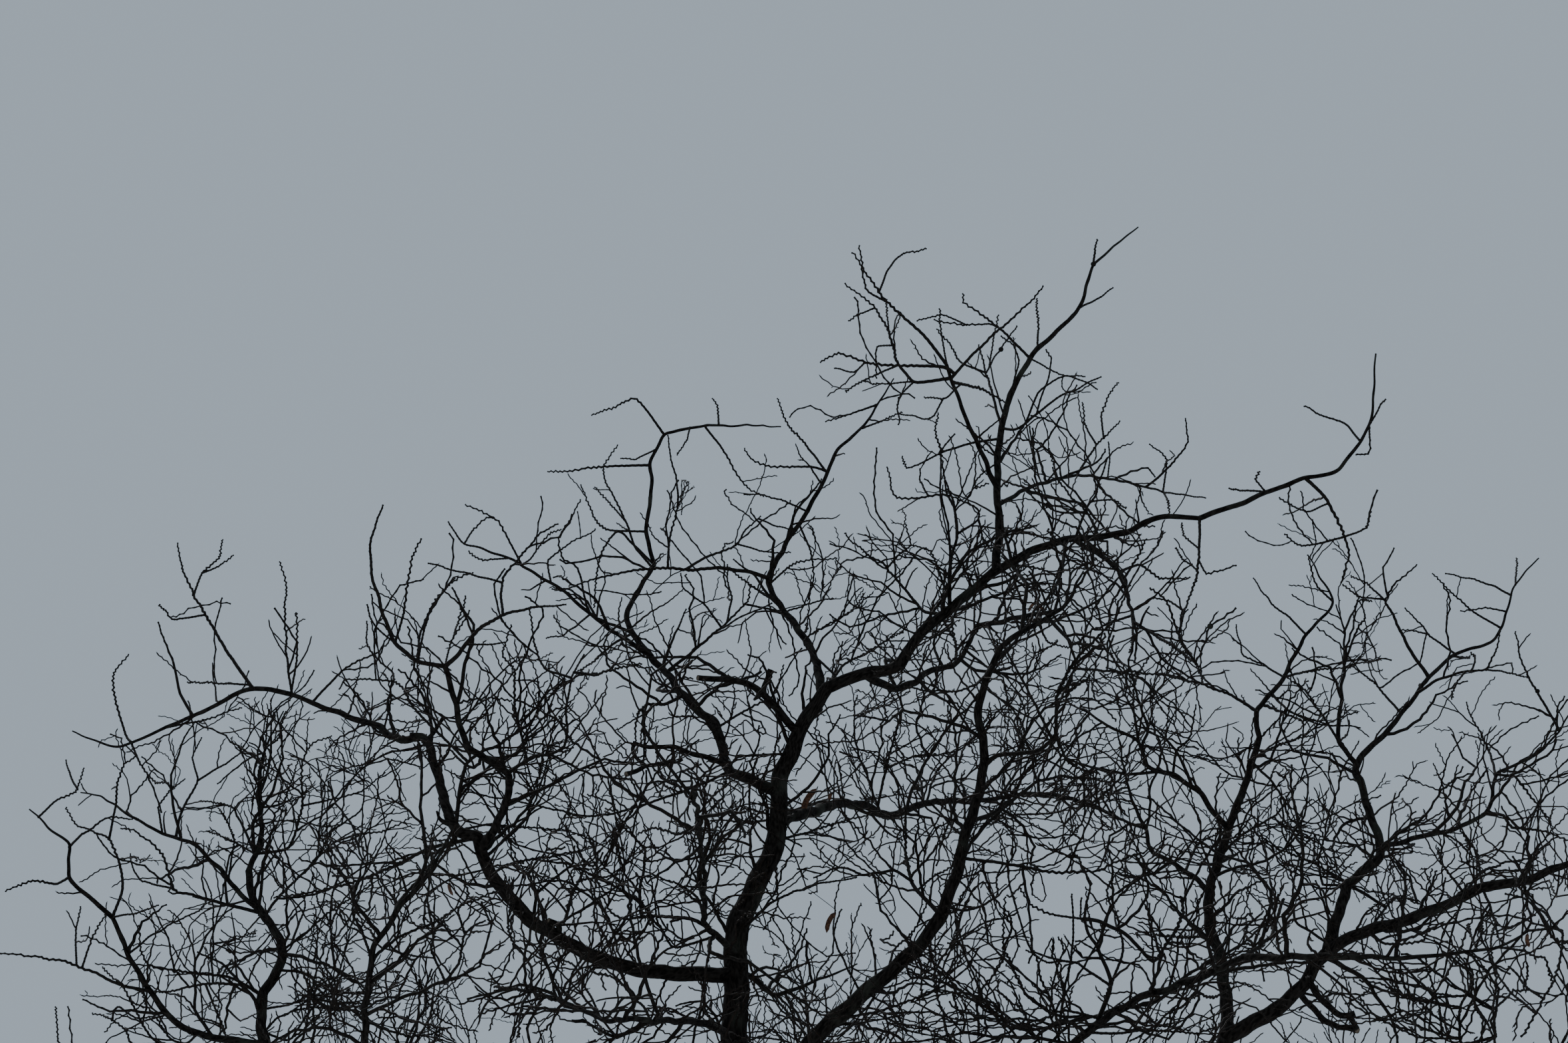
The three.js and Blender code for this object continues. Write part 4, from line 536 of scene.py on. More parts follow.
        (14, 0.3, -425, -266, -1, 20, 3, 14), (14, -0.3, -420, -268, 4, 18, 8, 14),
        (14, 0.4, -447, -176, 9, 8, 12, 6, 5, 14), (14, 0.3, -424, -162, -6, 10, -2, 8),
        (14, -0.4, -404, -237, 16, 2, 12, 4), (14, 0.4, -396, -262, 20, 16, 24, 12, 4, 6),
        (16, 0.4, -352, -306, -8, -8, -10, 4, -8, 12, -6, 8, -2, 8),
        (17, 0.4, -360, -314, -16, 0, -10, 12, -6, 12, -6, 10, -8, 8, -4, 4),
        (15, 0.4, -376, -314, -16, 0, -4, 8, -8, 6, -6, 3, -6, 1),
        (14, -0.2, -404, -300, 1, 6, 3, 2, 8, -6, 6, -1, 12, 3),
        (14, 0.2, -392, -314, -32, -8, -12, 8, -1, 10, -1, 8, 0, 4),
    ],
    "stem_near_left": [
        (26, 0.6, -236, -240, 6, 14, 14, 14, 8, 14, 10, 12),
        (26, -0.6, -248, -298, 12, 9, 32, 13, 8, 10, 4, 18, 12, 8),
        (20, 0.6, -249, -262, 17, 12, 24, 10, 16, 10, 20, 8),
        (18, -0.5, -250, -262, -4, 16, -6, 12, 4, 16, 8, 12),
        (16, 0.4, -232, -230, -12, 16, -4, 12, -12, 12),
        (16, 0.4, -204, -276, -8, 18, 2, 12, -6, 8), (15, -0.4, -192, -248, -4, 14, 6, 10, -6, 14),
        (16, 0.5, -249, -302, 25, -8, 24, 6),
    ],
}
# Broken side boughs with a blunt end: limb and row, and the end's diameter in mm.
bluntEnds = {("bough_near_right", 0): 16, ("bough_near_right", 2): 16}

# Cut and broken stubs: the limb, diameters at foot and end in mm, whether it leaves the limb
# itself or another stub, and its bends.
stubRows = [
    ("limb_pruned", 34, 30, True, [(-0.14, -1.05, -0.1), (-0.12, -0.99, -0.12),
        (-0.08, -0.89, -0.15)]),
    ("limb_left_inner", 34, 22, True, [(-0.36, -1.45, 0.36), (-0.48, -1.41, 0.33),
        (-0.59, -1.386, 0.3), (-0.67, -1.362, 0.28), (-0.76, -1.362, 0.27), (-0.83, -1.356, 0.26),
        (-0.91, -1.33, 0.25)]),
    ("limb_left_inner", 24, 20, False, [(-0.896, -1.33, 0.25), (-0.912, -1.37, 0.25),
        (-0.9, -1.41, 0.25), (-0.868, -1.44, 0.24), (-0.832, -1.468, 0.23)]),
    ("limb_left_inner", 20, 28, False, [(-0.674, -1.362, 0.28), (-0.668, -1.43, 0.27),
        (-0.716, -1.456, 0.26), (-0.776, -1.464, 0.24), (-0.848, -1.482, 0.2),
        (-0.896, -1.506, 0.16), (-0.95, -1.52, 0.12)]),
    ("limb_left_inner", 17, 15, False, [(-0.68, -1.45, 0.265), (-0.64, -1.446, 0.26),
        (-0.61, -1.43, 0.25)]),
    ("limb_left", 36, 28, True, [(-1.32, -2.45, -0.5), (-1.36, -2.43, -0.53),
        (-1.42, -2.4, -0.57)]),
    ("limb_left_outer", 26, 20, True, [(-2.14, -1.31, -0.3), (-2.1, -1.26, -0.32),
        (-2.05, -1.18, -0.35)]),
    ("limb_left_outer", 40, 20, True, [(-2.14, -1.31, -0.3), (-2.19, -1.29, -0.3),
        (-2.25, -1.28, -0.3)]),
    ("limb_left_outer", 38, 9, True, [(-2.03, -1.86, -0.63), (-2.06, -1.8, -0.65),
        (-2.09, -1.74, -0.68)]),
    ("arm_right", 40, 34, True, [(3.16, -2.76, 0.42), (3.22, -2.86, 0.38), (3.29, -2.935, 0.35),
        (3.34, -2.97, 0.33), (3.39, -2.972, 0.31), (3.435, -2.96, 0.3)]),
    ("arm_right", 30, 28, False, [(3.4, -2.975, 0.31), (3.42, -3.01, 0.32), (3.446, -3.05, 0.34)]),
    ("arm_right", 36, 32, True, [(3.08, -2.8, 0.45), (3.12, -2.86, 0.5), (3.184, -2.932, 0.56),
        (3.252, -3.008, 0.56), (3.32, -3.032, 0.48), (3.45, -3.06, 0.35)]),
]

# Pods: where the top and the lower end hang on the board, away, and width in mm.
podRows = [
    ((0.196, -1.606), (0.112, -1.752), 0.42, 36), ((0.288, -1.632), (0.274, -1.676), 0.55, 24),
    ((0.308, -2.35), (0.256, -2.474), 0.3, 28), ((4.474, -2.476), (4.482, -2.56), -3.55, 20),
    ((1.52, -0.482), (1.47, -0.546), 1.3, 20), ((1.524, -0.482), (1.568, -0.532), 1.3, 20),
    ((-2.014, -2.17), (-1.99, -2.25), -0.9, 22),
]

# Swellings on shoots: place on the board and diameter in mm.
knobRows = [(1.857, 1.546, 34), (1.3, 1.044, 32), (2.492, -0.6, 30), (4.548, -1.024, 30)]

rowFields = ("name", "parent", "crown", "foot", "tip", "bends", "lead")
boughs = [dict(zip(rowFields, row)) for row in boughRows]


def placesOf(row, kind):
    return [Vector(place) if row["name"] in hiddenEnds else sighted(place) for place in row[kind]]


class Chance:
    # Draws the same numbers as the solids were drawn with, from the same seed.
    factor, modulus = 48271, 2147483647

    def __init__(self, seed):
        self.seed = seed

    def between(self, low, high):
        self.seed = self.seed * self.factor % self.modulus
        return low + (high - low) * self.seed / self.modulus


# The first seed of each kind of draw, and the step from one limb, stub or pod to the next.
seeds = {
    "trunkBark": (77, 0), "limbWaver": (300, 41), "limbBark": (1000, 37), "stubWaver": (5100, 91),
    "stubBark": (5000, 91), "sideWaver": (7100, 53), "sideBark": (7000, 53),
    "twigs": (90000, 613), "pods": (640, 7), "knobs": (70, 1),
}
noiseSpan = 50


def chanceFor(kind, number=0, extra=0):
    first, step = seeds[kind]
    return Chance(first + step * number + extra)


def smoothPath(places, stepLength, slack=0.5):
    path = [places[0].copy()]
    for span in range(len(places) - 1):
        p1, p2 = places[span], places[span + 1]
        p0 = places[span - 1] if span > 0 else p1 * 2 - p2
        p3 = places[span + 2] if span + 2 < len(places) else p2 * 2 - p1
        leave, arrive = (p2 - p0) * slack, (p3 - p1) * slack
        steps = max(1, math.floor((p2 - p1).length / stepLength + 0.5))
        for step in range(1, steps + 1):
            t = step / steps
            path.append(p1 + leave * t + (p2 * 3 - p1 * 3 - leave * 2 - arrive) * t * t
                        + (p1 * 2 - p2 * 2 + leave + arrive) * t ** 3)
    return path


def pathLengths(path):
    lengths = [0.0]
    for a, b in zip(path, path[1:]):
        lengths.append(lengths[-1] + (b - a).length)
    return lengths


def finePath(path, radii, ring):
    fine = smoothPath(path, ring)
    coarse, lengths = pathLengths(path), pathLengths(fine)
    shares = np.array(coarse) / coarse[-1]
    fineRadii = np.interp(np.array(lengths) / lengths[-1], shares, radii)
    return fine, [float(radius) for radius in fineRadii]


def taper(path, footRadius, tipRadius, swell=1.0, hold=1.0):
    # The radii from foot to tip, swollen by a collar at the foot.
    lengths = pathLengths(path)
    radii = []
    for length in lengths:
        share = length / lengths[-1]
        collar = 1 + (swell - 1) * max(0, 1 - share / limbShape["collar"])
        radii.append((footRadius + (tipRadius - footRadius) * share ** hold) * collar)
    return radii


def anySide(heading):
    rough = upright if abs(heading.z) < 0.9 else Vector((1, 0, 0))
    return rough.cross(heading).normalized()


def turned(vector, axis, angle):
    return Quaternion(axis, angle) @ vector


def strayedSide(heading, chance):
    return turned(anySide(heading), heading, chance.between(0, 2 * math.pi))


def nearestOn(path, place):
    best = None
    for a, b in zip(path, path[1:]):
        share = max(0, min(1, (place - a).dot(b - a) / (b - a).length_squared))
        point = a.lerp(b, share)
        if best is None or (point - place).length < (best - place).length:
            best = point
    return best


def tipHeading(path):
    return (path[-1] - path[-2]).normalized()


# The limbs, by the same rule and seed as the solids.
print("limbs")
limbShape = {
    "seed": 20261126, "step": 0.42, "swell": 1.16, "collar": 0.05, "seatGap": 0.0004,
    "crook": 0.014, "crookPerRadius": 0.22, "crookRange": (0.4, 1),
}
trunkShape = {
    "lean": [(0, 0, 0), (0.03, 0.01, 0.9), (0.04, 0.03, 1.9), (0, 0, 2.9)],
    "step": 0.3, "footRings": (0.04, 0.1, 0.2, 0.34),
    "height": 2.9, "diameter": 0.3, "topDiameter": 0.236,
    "flareDiameter": 0.47, "flareHeight": 0.26,
    # Buttresses are waves round the flare: count, turn, share. Flutes wind up the whole trunk.
    "buttresses": [(5, 0.6, 1.0), (2, 1.9, 0.5)], "buttressDepth": 0.13,
    "flutes": 3, "fluteRise": 0.6, "fluteDepth": 0.025,
    "ring": 0.011, "capHeight": 0.06, "capShare": 0.6, "flatBelow": 0.001,
}
trunkPath = smoothPath([Vector(place) for place in trunkShape["lean"]], trunkShape["step"])
trunkPath[1:2] = [Vector((0, 0, height)) for height in trunkShape["footRings"]]


def trunkRadius(height):
    wide, narrow = trunkShape["diameter"], trunkShape["topDiameter"]
    flare = (trunkShape["flareDiameter"] - wide) * math.exp(-height / trunkShape["flareHeight"])
    return (wide + (narrow - wide) * height / trunkShape["height"] + flare) / 2


def crook(path, radii, chance):
    for i in range(2, len(path) - 1):
        along = (path[i + 1] - path[i - 1]).normalized()
        stray = limbShape["crook"] + limbShape["crookPerRadius"] * radii[i]
        stray *= chance.between(*limbShape["crookRange"])
        path[i] += strayedSide(along, chance) * stray


limbs = {"trunk": {"path": trunkPath, "radii": [trunkRadius(point.z) for point in trunkPath]}}
limbChance = Chance(limbShape["seed"])
for row in boughs:
    parent = limbs[row["parent"]]["path"]
    places = placesOf(row, "bends")
    if row["name"] in grownFromTip:
        places[0] = parent[-1] + tipHeading(parent) * limbShape["seatGap"]
        swell = 1.0
    else:
        places[0] = nearestOn(parent, places[0])
        swell = limbShape["swell"]
    path = smoothPath(places, limbShape["step"])
    radii = taper(path, row["foot"] / 2000, row["tip"] / 2000, swell)
    crook(path, radii, limbChance)
    limbs[row["name"]] = {"path": path, "radii": radii}


# Side boughs: each leaves the nearest place of its family and follows its bends on the board.
sideShape = {
    "lead": 30, "leadStep": 0.1, "step": 0.0375, "slack": 0.3, "tip": 0.0045, "hold": 1.2,
    "collar": 1.2, "limbStep": 0.03, "barkFrom": 0.024, "bluntFrom": 0.006,
}
# Diameter in mm of the twig that leads each bough on, where it starts; 30 elsewhere.
leadFeet = {
    "stem_near_right": 38, "arm_upper_right": 34, "leader_top": 40, "leader_top_left": 22,
    "bough_mid_right": 20, "bough_droop": 22, "bough_inner_top": 28, "limb_left_inner": 27,
    "bough_left_upper": 21, "limb_left_outer": 32, "bough_low_right": 34, "bough_spray": 20,
    "bough_far_right": 34, "stem_right": 34, "arm_right": 64, "bough_right_riser": 29,
    "bough_near_right": 46, "stem_left": 36, "stem_near_left": 38, "bough_near_centre": 36,
}


def boardScale(point):
    return view["boardDistance"] / (point - eye).dot(ahead)


def onBoard(point):
    line = (point - eye) * boardScale(point)
    return Vector((line.x, line.dot(boardUp)))


def nearestOnBoard(strands, place):
    points = [point for path, _ in strands for point in path]
    return min(points, key=lambda point: (onBoard(point) - place).length).copy()


families = {}
for row in boughs:
    limb = limbs[row["name"]]
    family = [(smoothPath(limb["path"], sideShape["limbStep"]), limb["radii"])]
    if row["lead"]:
        places = [limb["path"][-1]] + placesOf(row, "lead")
        lead = smoothPath(places, sideShape["leadStep"], sideShape["slack"])
        foot = leadFeet.get(row["name"], sideShape["lead"]) / 2000 / boardScale(lead[0])
        family.append((lead, taper(lead, foot, sideShape["tip"], hold=sideShape["hold"])))
    for number, (foot, drift, *steps) in enumerate(sideRows.get(row["name"], [])):
        bends = np.cumsum(np.reshape(steps, (-1, 2)), axis=0).tolist()
        blunt = bluntEnds.get((row["name"], number))
        tip = blunt / 2000 if blunt else sideShape["tip"]
        start = nearestOnBoard(family, Vector(bends[0]) / 100)
        places = [start]
        for step, (across, up) in enumerate(bends[1:], 1):
            away = start.y + drift * step / (len(bends) - 1)
            places.append(sighted((across / 100, up / 100, away)))
        path = smoothPath(places, sideShape["step"], sideShape["slack"])
        foot /= 2000 * boardScale(start)
        family.append((path, taper(path, foot, tip, sideShape["collar"], sideShape["hold"])))
    families[row["name"]] = family


def barked(radii):
    # Side boughs thick enough to be seen as bark are built with their limb.
    return radii[len(radii) // 4] * 2 >= sideShape["barkFrom"]


# Materials.
def newMaterial(name):
    material = bpy.data.materials.new(name)
    material.use_nodes = True
    tree = material.node_tree
    return material, tree, tree.nodes["Principled BSDF"]


def plug(tree, node, inputs):
    for socket, value in inputs.items():
        if isinstance(value, bpy.types.NodeSocket):
            tree.links.new(value, node.inputs[socket])
        else:
            node.inputs[socket].default_value = value


def addNode(tree, kind, inputs=None, **fields):
    node = tree.nodes.new(kind)
    for field, value in fields.items():
        setattr(node, field, value)
    plug(tree, node, inputs or {})
    return node


def addNoise(tree, place, settings):
    return addNode(tree, "ShaderNodeTexNoise", {"Vector": place, **settings}).outputs["Fac"]


def addRamp(tree, factor, stops):
    ramp = addNode(tree, "ShaderNodeValToRGB", {"Fac": factor})
    elements = ramp.color_ramp.elements
    while len(elements) < len(stops):
        elements.new(0.5)
    for element, (position, colour) in zip(elements, stops):
        element.position = position
        element.color = (*colour, 1)
    return ramp.outputs["Color"]


print("materials")
barkLook = {
    "grain": {"Scale": 260, "Detail": 4, "Roughness": 0.6}, "patch": {"Scale": 5.5, "Detail": 3},
    "reliefShare": 0.75, "grainShare": 0.25, "bump": {"Strength": 0.5, "Distance": 0.002},
    # Crack, body and plate, darkest in the cracks as painted shade; all kept near-black as painted
    # shade of the backlit tree.
    "tones": [(0.22, (0.004, 0.0032, 0.0026)), (0.48, (0.015, 0.012, 0.01)),
              (0.8, (0.036, 0.031, 0.027))],
    # The lichen is kept dark too, as painted shade; its patches lie at random.
    "lichen": (0.05, 0.053, 0.041), "lichenCover": [(0.56, (0, 0, 0)), (0.7, (0.45, 0.45, 0.45))],
    "roughness": 0.92, "specular": 0.1,
}


def makeBark():
    material, tree, shader = newMaterial("bark")
    place = addNode(tree, "ShaderNodeTexCoord").outputs["Object"]
    relief = addNode(tree, "ShaderNodeAttribute", attribute_name="relief").outputs["Fac"]
    grain, patch = [addNoise(tree, place, barkLook[kind]) for kind in ("grain", "patch")]
    # The relief darkens the cracks as painted shade; a grain noise adds random tone.
    deep = addNode(tree, "ShaderNodeMath", {0: relief, 1: barkLook["reliefShare"]},
                   operation="MULTIPLY")
    height = addNode(tree, "ShaderNodeMath", {
        0: grain, 1: barkLook["grainShare"], 2: deep.outputs[0]}, operation="MULTIPLY_ADD")
    # Base colour: the near-black tones of painted shade, under patches of lichen.
    colour = addNode(tree, "ShaderNodeMix", {
        0: addRamp(tree, patch, barkLook["lichenCover"]),
        6: addRamp(tree, height.outputs[0], barkLook["tones"]),
        7: (*barkLook["lichen"], 1)}, data_type="RGBA")
    bump = addNode(tree, "ShaderNodeBump", {"Height": grain, **barkLook["bump"]})
    plug(tree, shader, {
        "Base Color": colour.outputs[2], "Normal": bump.outputs["Normal"],
        "Roughness": barkLook["roughness"], "Specular IOR Level": barkLook["specular"]})
    return material


# Twigs, pods and cut wood are flecked between two tones.
fleckLook = {
    "noise": {"Scale": 90, "Detail": 2}, "low": 0.35, "high": 0.68, "specular": 0.15,
    "bump": {"Strength": 0.4, "Distance": 0.001},
}
twigLooks = {
    # Shoots, twigs and buds are kept near-black as painted shade of the backlit crown.
    "shoots": {"low": (0.008, 0.0062, 0.005), "high": (0.024, 0.019, 0.015), "roughness": 0.85},
    "twigs": {"low": (0.009, 0.006, 0.0045), "high": (0.026, 0.017, 0.012), "roughness": 0.75},
    "buds": {"low": (0.01, 0.006, 0.004), "high": (0.028, 0.017, 0.011), "roughness": 0.7},
    "pods": {"low": (0.05, 0.021, 0.012), "high": (0.17, 0.078, 0.04), "roughness": 0.45},
    "cutWood": {"low": (0.09, 0.07, 0.05), "high": (0.19, 0.15, 0.11), "roughness": 0.85},
}


def makeTwigLook(name):
    look = twigLooks[name]
    material, tree, shader = newMaterial(name)
    place = addNode(tree, "ShaderNodeTexCoord").outputs["Object"]
    flecks = addNoise(tree, place, fleckLook["noise"])
    tone = addRamp(tree, flecks, [(fleckLook[end], look[end]) for end in ("low", "high")])
    bump = addNode(tree, "ShaderNodeBump", {"Height": flecks, **fleckLook["bump"]})
    plug(tree, shader, {
        "Base Color": tone, "Normal": bump.outputs["Normal"],
        "Roughness": look["roughness"], "Specular IOR Level": fleckLook["specular"]})
    return material


materials = {"bark": makeBark(), **{name: makeTwigLook(name) for name in twigLooks}}

# Bark: rings laid along each limb, pushed in and out by plates, cracks and old branch collars.
print("bark")
barkShape = {
    "edge": 0.0095, "fewest": 9, "most": 112, "ring": 0.016, "outOfRound": 0.06,
    "roundLength": (5, 0.05), "reliefShare": 0.08, "reliefMost": 0.008, "reliefMiddle": 0.45,
    # A limb that grows from a tip starts inside it; the other end is rounded off.
    "sink": 0.02, "sinkShare": 0.97, "roundOff": 0.6, "roundShare": 0.62,
}
plates = {
    "width": 0.022, "least": 0.007, "perRadius": 0.32, "stretch": 5.0, "wander": 1.2,
    "wanderScale": 0.35, "level": 0.62, "crack": 0.75, "crackSharpness": 3.2, "flake": 0.28,
    "flakeScale": 2.3,
}
knuckleShape = {
    "first": (0.2, 0.5), "every": 0.2, "range": (0.6, 1.5), "last": 0.1, "size": (0.5, 1),
    "height": 0.26, "length": (1.3, 0.008), "fade": 2.5,
}
waver = {"size": 0.014, "length": 0.13, "ease": 0.15, "axisShift": 9.3}
stubShape = {"ring": 0.01, "sides": 16, "callus": 0.16, "callusLength": 0.022}


def ringFrames(path, firstHeading=None):
    headings, sides = [], []
    for i in range(len(path)):
        if i == 0 and firstHeading is not None:
            headings.append(firstHeading)
        else:
            headings.append((path[min(i + 1, len(path) - 1)] - path[max(i - 1, 0)]).normalized())
    side = anySide(headings[0])
    for heading in headings:
        side = (side - heading * side.dot(heading)).normalized()
        sides.append(side.copy())
    return headings, sides


def linked(name, data):
    thing = bpy.data.objects.new(name, data)
    bpy.context.scene.collection.objects.link(thing)
    return thing


class Shell:
    # Gathers rings into one mesh, each tube closed at both ends. Its values are the relief that
    # the bark's colour follows, darkest in the cracks as painted shade.
    plainRelief, endRelief = 0.5, 0.4

    def __init__(self):
        self.points = []
        self.faces = []
        self.values = []
        self.ends = []

    def addTube(self, path, radii, count, firstHeading=None, shape=None, cutEnd=False):
        headings, sides = ringFrames(path, firstHeading)
        start = len(self.points)
        rings = zip(path, radii, pathLengths(path), headings, sides)
        for point, radius, length, heading, side in rings:
            over = side.cross(heading)
            grown, value = radius, self.plainRelief
            for step in range(count):
                angle = 2 * math.pi * step / count
                if shape:
                    grown, value = shape(angle, length, radius, point)
                out = side * math.cos(angle) + over * math.sin(angle)
                self.points.append(point + out * grown)
                self.values.append(value)
        self.closeRings(start, len(path) - 1, count, path[0], path[-1], cutEnd)

    def closeRings(self, start, spans, count, foot, tip, cutEnd=False):
        # Walls between the rings, and a fan of faces over both ends.
        for ring in range(spans):
            low = start + ring * count
            for step in range(count):
                here, after = low + step, low + (step + 1) % count
                self.faces.append((here, here + count, after + count, after))
        last = start + spans * count
        for first, centre, outward in ((start, foot, False), (last, tip, True)):
            middle = len(self.points)
            self.points.append(centre.copy())
            self.values.append(self.endRelief)
            for step in range(count):
                here, after = first + step, first + (step + 1) % count
                if cutEnd and outward:
                    self.ends.append(len(self.faces))
                self.faces.append((here, middle, after) if outward else (after, middle, here))

    def toObject(self, name, lookNames):
        mesh = bpy.data.meshes.new(name)
        mesh.from_pydata([tuple(point) for point in self.points], [], self.faces)
        for lookName in lookNames:
            mesh.materials.append(materials[lookName])
        relief = mesh.attributes.new("relief", "FLOAT", "POINT")
        relief.data.foreach_set("value", self.values)
        mesh.polygons.foreach_set("use_smooth", [True] * len(self.faces))
        for face in self.ends:
            mesh.polygons[face].material_index = 1
            mesh.polygons[face].use_smooth = False
        mesh.update()
        return linked(name, mesh)


def barkSurface(wholeLength, chance, lobes=None):
    shift = chance.between(0, noiseSpan)
    knuckles = []
    reach = chance.between(*knuckleShape["first"])
    while reach < wholeLength - knuckleShape["last"]:
        side = chance.between(0, 2 * math.pi)
        knuckles.append((reach, side, chance.between(*knuckleShape["size"])))
        reach += knuckleShape["every"] * chance.between(*knuckleShape["range"])

    def plateHeight(angle, length, radius):
        width = min(plates["width"], max(plates["least"], radius * plates["perRadius"]))
        x, y = math.cos(angle) * radius, math.sin(angle) * radius
        place = Vector((x / width, y / width, (length + shift) / (width * plates["stretch"])))
        wander = noise.noise(place * plates["wanderScale"]) * plates["wander"]
        place.x += wander
        place.y -= wander
        cracks = 1 - min(1, abs(noise.noise(place)) * plates["crackSharpness"])
        flakes = noise.noise(place * plates["flakeScale"])
        return plates["level"] - plates["crack"] * cracks ** 2 + plates["flake"] * flakes

    def surface(angle, length, radius, point):
        # How far out the bark lies, and how high it stands between crack and plate.
        height = plateHeight(angle, length, radius)
        perRadius, least = barkShape["roundLength"]
        along = (length + shift) / (radius * perRadius + least)
        broad = noise.noise(Vector((math.cos(angle), math.sin(angle), along)))
        grown = radius * (1 + barkShape["outOfRound"] * broad)
        perRadius, least = knuckleShape["length"]
        for reach, side, size in knuckles:
            near = (length - reach) / (radius * perRadius + least)
            if abs(near) < knuckleShape["fade"]:
                bump = math.exp(-near * near) * max(0, math.cos(angle - side)) ** 2
                grown += radius * knuckleShape["height"] * size * bump
        if lobes is not None:
            grown = grown * lobes(angle, point)
        deep = min(barkShape["reliefMost"], radius * barkShape["reliefShare"])
        return grown + deep * (height - barkShape["reliefMiddle"]), height

    return surface


def trunkLobes(angle, point):
    lobes = sum(share * math.cos(count * angle + turn)
                for count, turn, share in trunkShape["buttresses"])
    fade = math.exp(-point.z / trunkShape["flareHeight"])
    flutes = math.cos(trunkShape["flutes"] * angle + point.z / trunkShape["fluteRise"])
    return 1 + trunkShape["buttressDepth"] * fade * lobes + trunkShape["fluteDepth"] * flutes


def wavered(path, chance):
    # Small crooks in a limb's line, none at its foot and tip.
    shift = chance.between(0, noiseSpan)
    lengths = pathLengths(path)
    for i in range(1, len(path) - 1):
        ease = min(1, lengths[i] / waver["ease"], (lengths[-1] - lengths[i]) / waver["ease"])
        place = lengths[i] / waver["length"] + shift
        stray = Vector([noise.noise(Vector((place, axis * waver["axisShift"], shift)))
                        for axis in range(3)])
        path[i] = path[i] + stray * waver["size"] * ease
    return path


def sidesFor(radius):
    wanted = int(2 * math.pi * radius / barkShape["edge"])
    return max(barkShape["fewest"], min(barkShape["most"], wanted))


def makeTrunk():
    path = smoothPath(trunkPath, trunkShape["ring"])
    path[0].z = 0
    radii = [trunkRadius(max(0, point.z)) for point in path]
    path.append(path[-1] + upright * trunkShape["capHeight"])
    radii.append(radii[-1] * trunkShape["capShare"])
    shell = Shell()
    surface = barkSurface(trunkShape["height"], chanceFor("trunkBark"), trunkLobes)
    shell.addTube(path, radii, barkShape["most"], firstHeading=upright, shape=surface)
    flat = min(point.z for point in shell.points)
    for point in shell.points:
        point.z -= flat if point.z < trunkShape["flatBelow"] else 0
    return shell.toObject("bark_trunk", ["bark"])


def addStub(shell, limb, number, owner, foot, tip, leavesLimb, bends):
    places = [sighted(place) for place in bends]
    if leavesLimb:
        places[0] = nearestOn(limb["fine"], places[0])
    path, radii = finePath(places, taper(places, foot / 2000, tip / 2000), stubShape["ring"])
    path = wavered(path, chanceFor("stubWaver", number))
    lengths = pathLengths(path)
    # The bark swells around a cut.
    for i, length in enumerate(lengths):
        near = (lengths[-1] - length) / stubShape["callusLength"]
        radii[i] *= 1 + stubShape["callus"] * math.exp(-near ** 2)
    surface = barkSurface(lengths[-1], chanceFor("stubBark", number))
    shell.addTube(path, radii, stubShape["sides"], shape=surface, cutEnd=True)


def addSideBough(shell, path, radii, number, limbNumber):
    fine, fineRadii = finePath(path, radii, barkShape["ring"])
    fine = wavered(fine, chanceFor("sideWaver", number, limbNumber))
    surface = barkSurface(pathLengths(fine)[-1], chanceFor("sideBark", number, limbNumber))
    shell.addTube(fine, fineRadii, sidesFor(radii[0]), shape=surface,
                  cutEnd=fineRadii[-1] > sideShape["bluntFrom"])


barkPieces = {"trunk": makeTrunk()}
for index, row in enumerate(boughs):
    limb = limbs[row["name"]]
    path, radii = finePath(limb["path"], limb["radii"], barkShape["ring"])
    path = wavered(path, chanceFor("limbWaver", index))
    limb["fine"], limb["fineRadii"] = list(path), list(radii)
    cutEnd = row["name"] == "limb_pruned"
    if row["name"] in grownFromTip:
        path.insert(0, path[0] - tipHeading(limbs[row["parent"]]["path"]) * barkShape["sink"])
        radii.insert(0, radii[0] * barkShape["sinkShare"])
    if not cutEnd:
        path.append(path[-1] + tipHeading(path) * radii[-1] * barkShape["roundOff"])
        radii.append(radii[-1] * barkShape["roundShare"])
    shell = Shell()
    surface = barkSurface(pathLengths(path)[-1], chanceFor("limbBark", index))
    shell.addTube(path, radii, sidesFor(row["foot"] / 2000), shape=surface, cutEnd=cutEnd)
    for number, stub in enumerate(stubRows):
        if stub[0] == row["name"]:
            addStub(shell, limb, number, *stub)
    for number, (sidePath, sideRadii) in enumerate(families[row["name"]][1:]):
        if barked(sideRadii):
            addSideBough(shell, sidePath, sideRadii, number, index)
    barkPieces[row["name"]] = shell.toObject("bark_" + row["name"], ["bark", "cutWood"])
print("bark faces", sum(len(piece.data.polygons) for piece in barkPieces.values()))

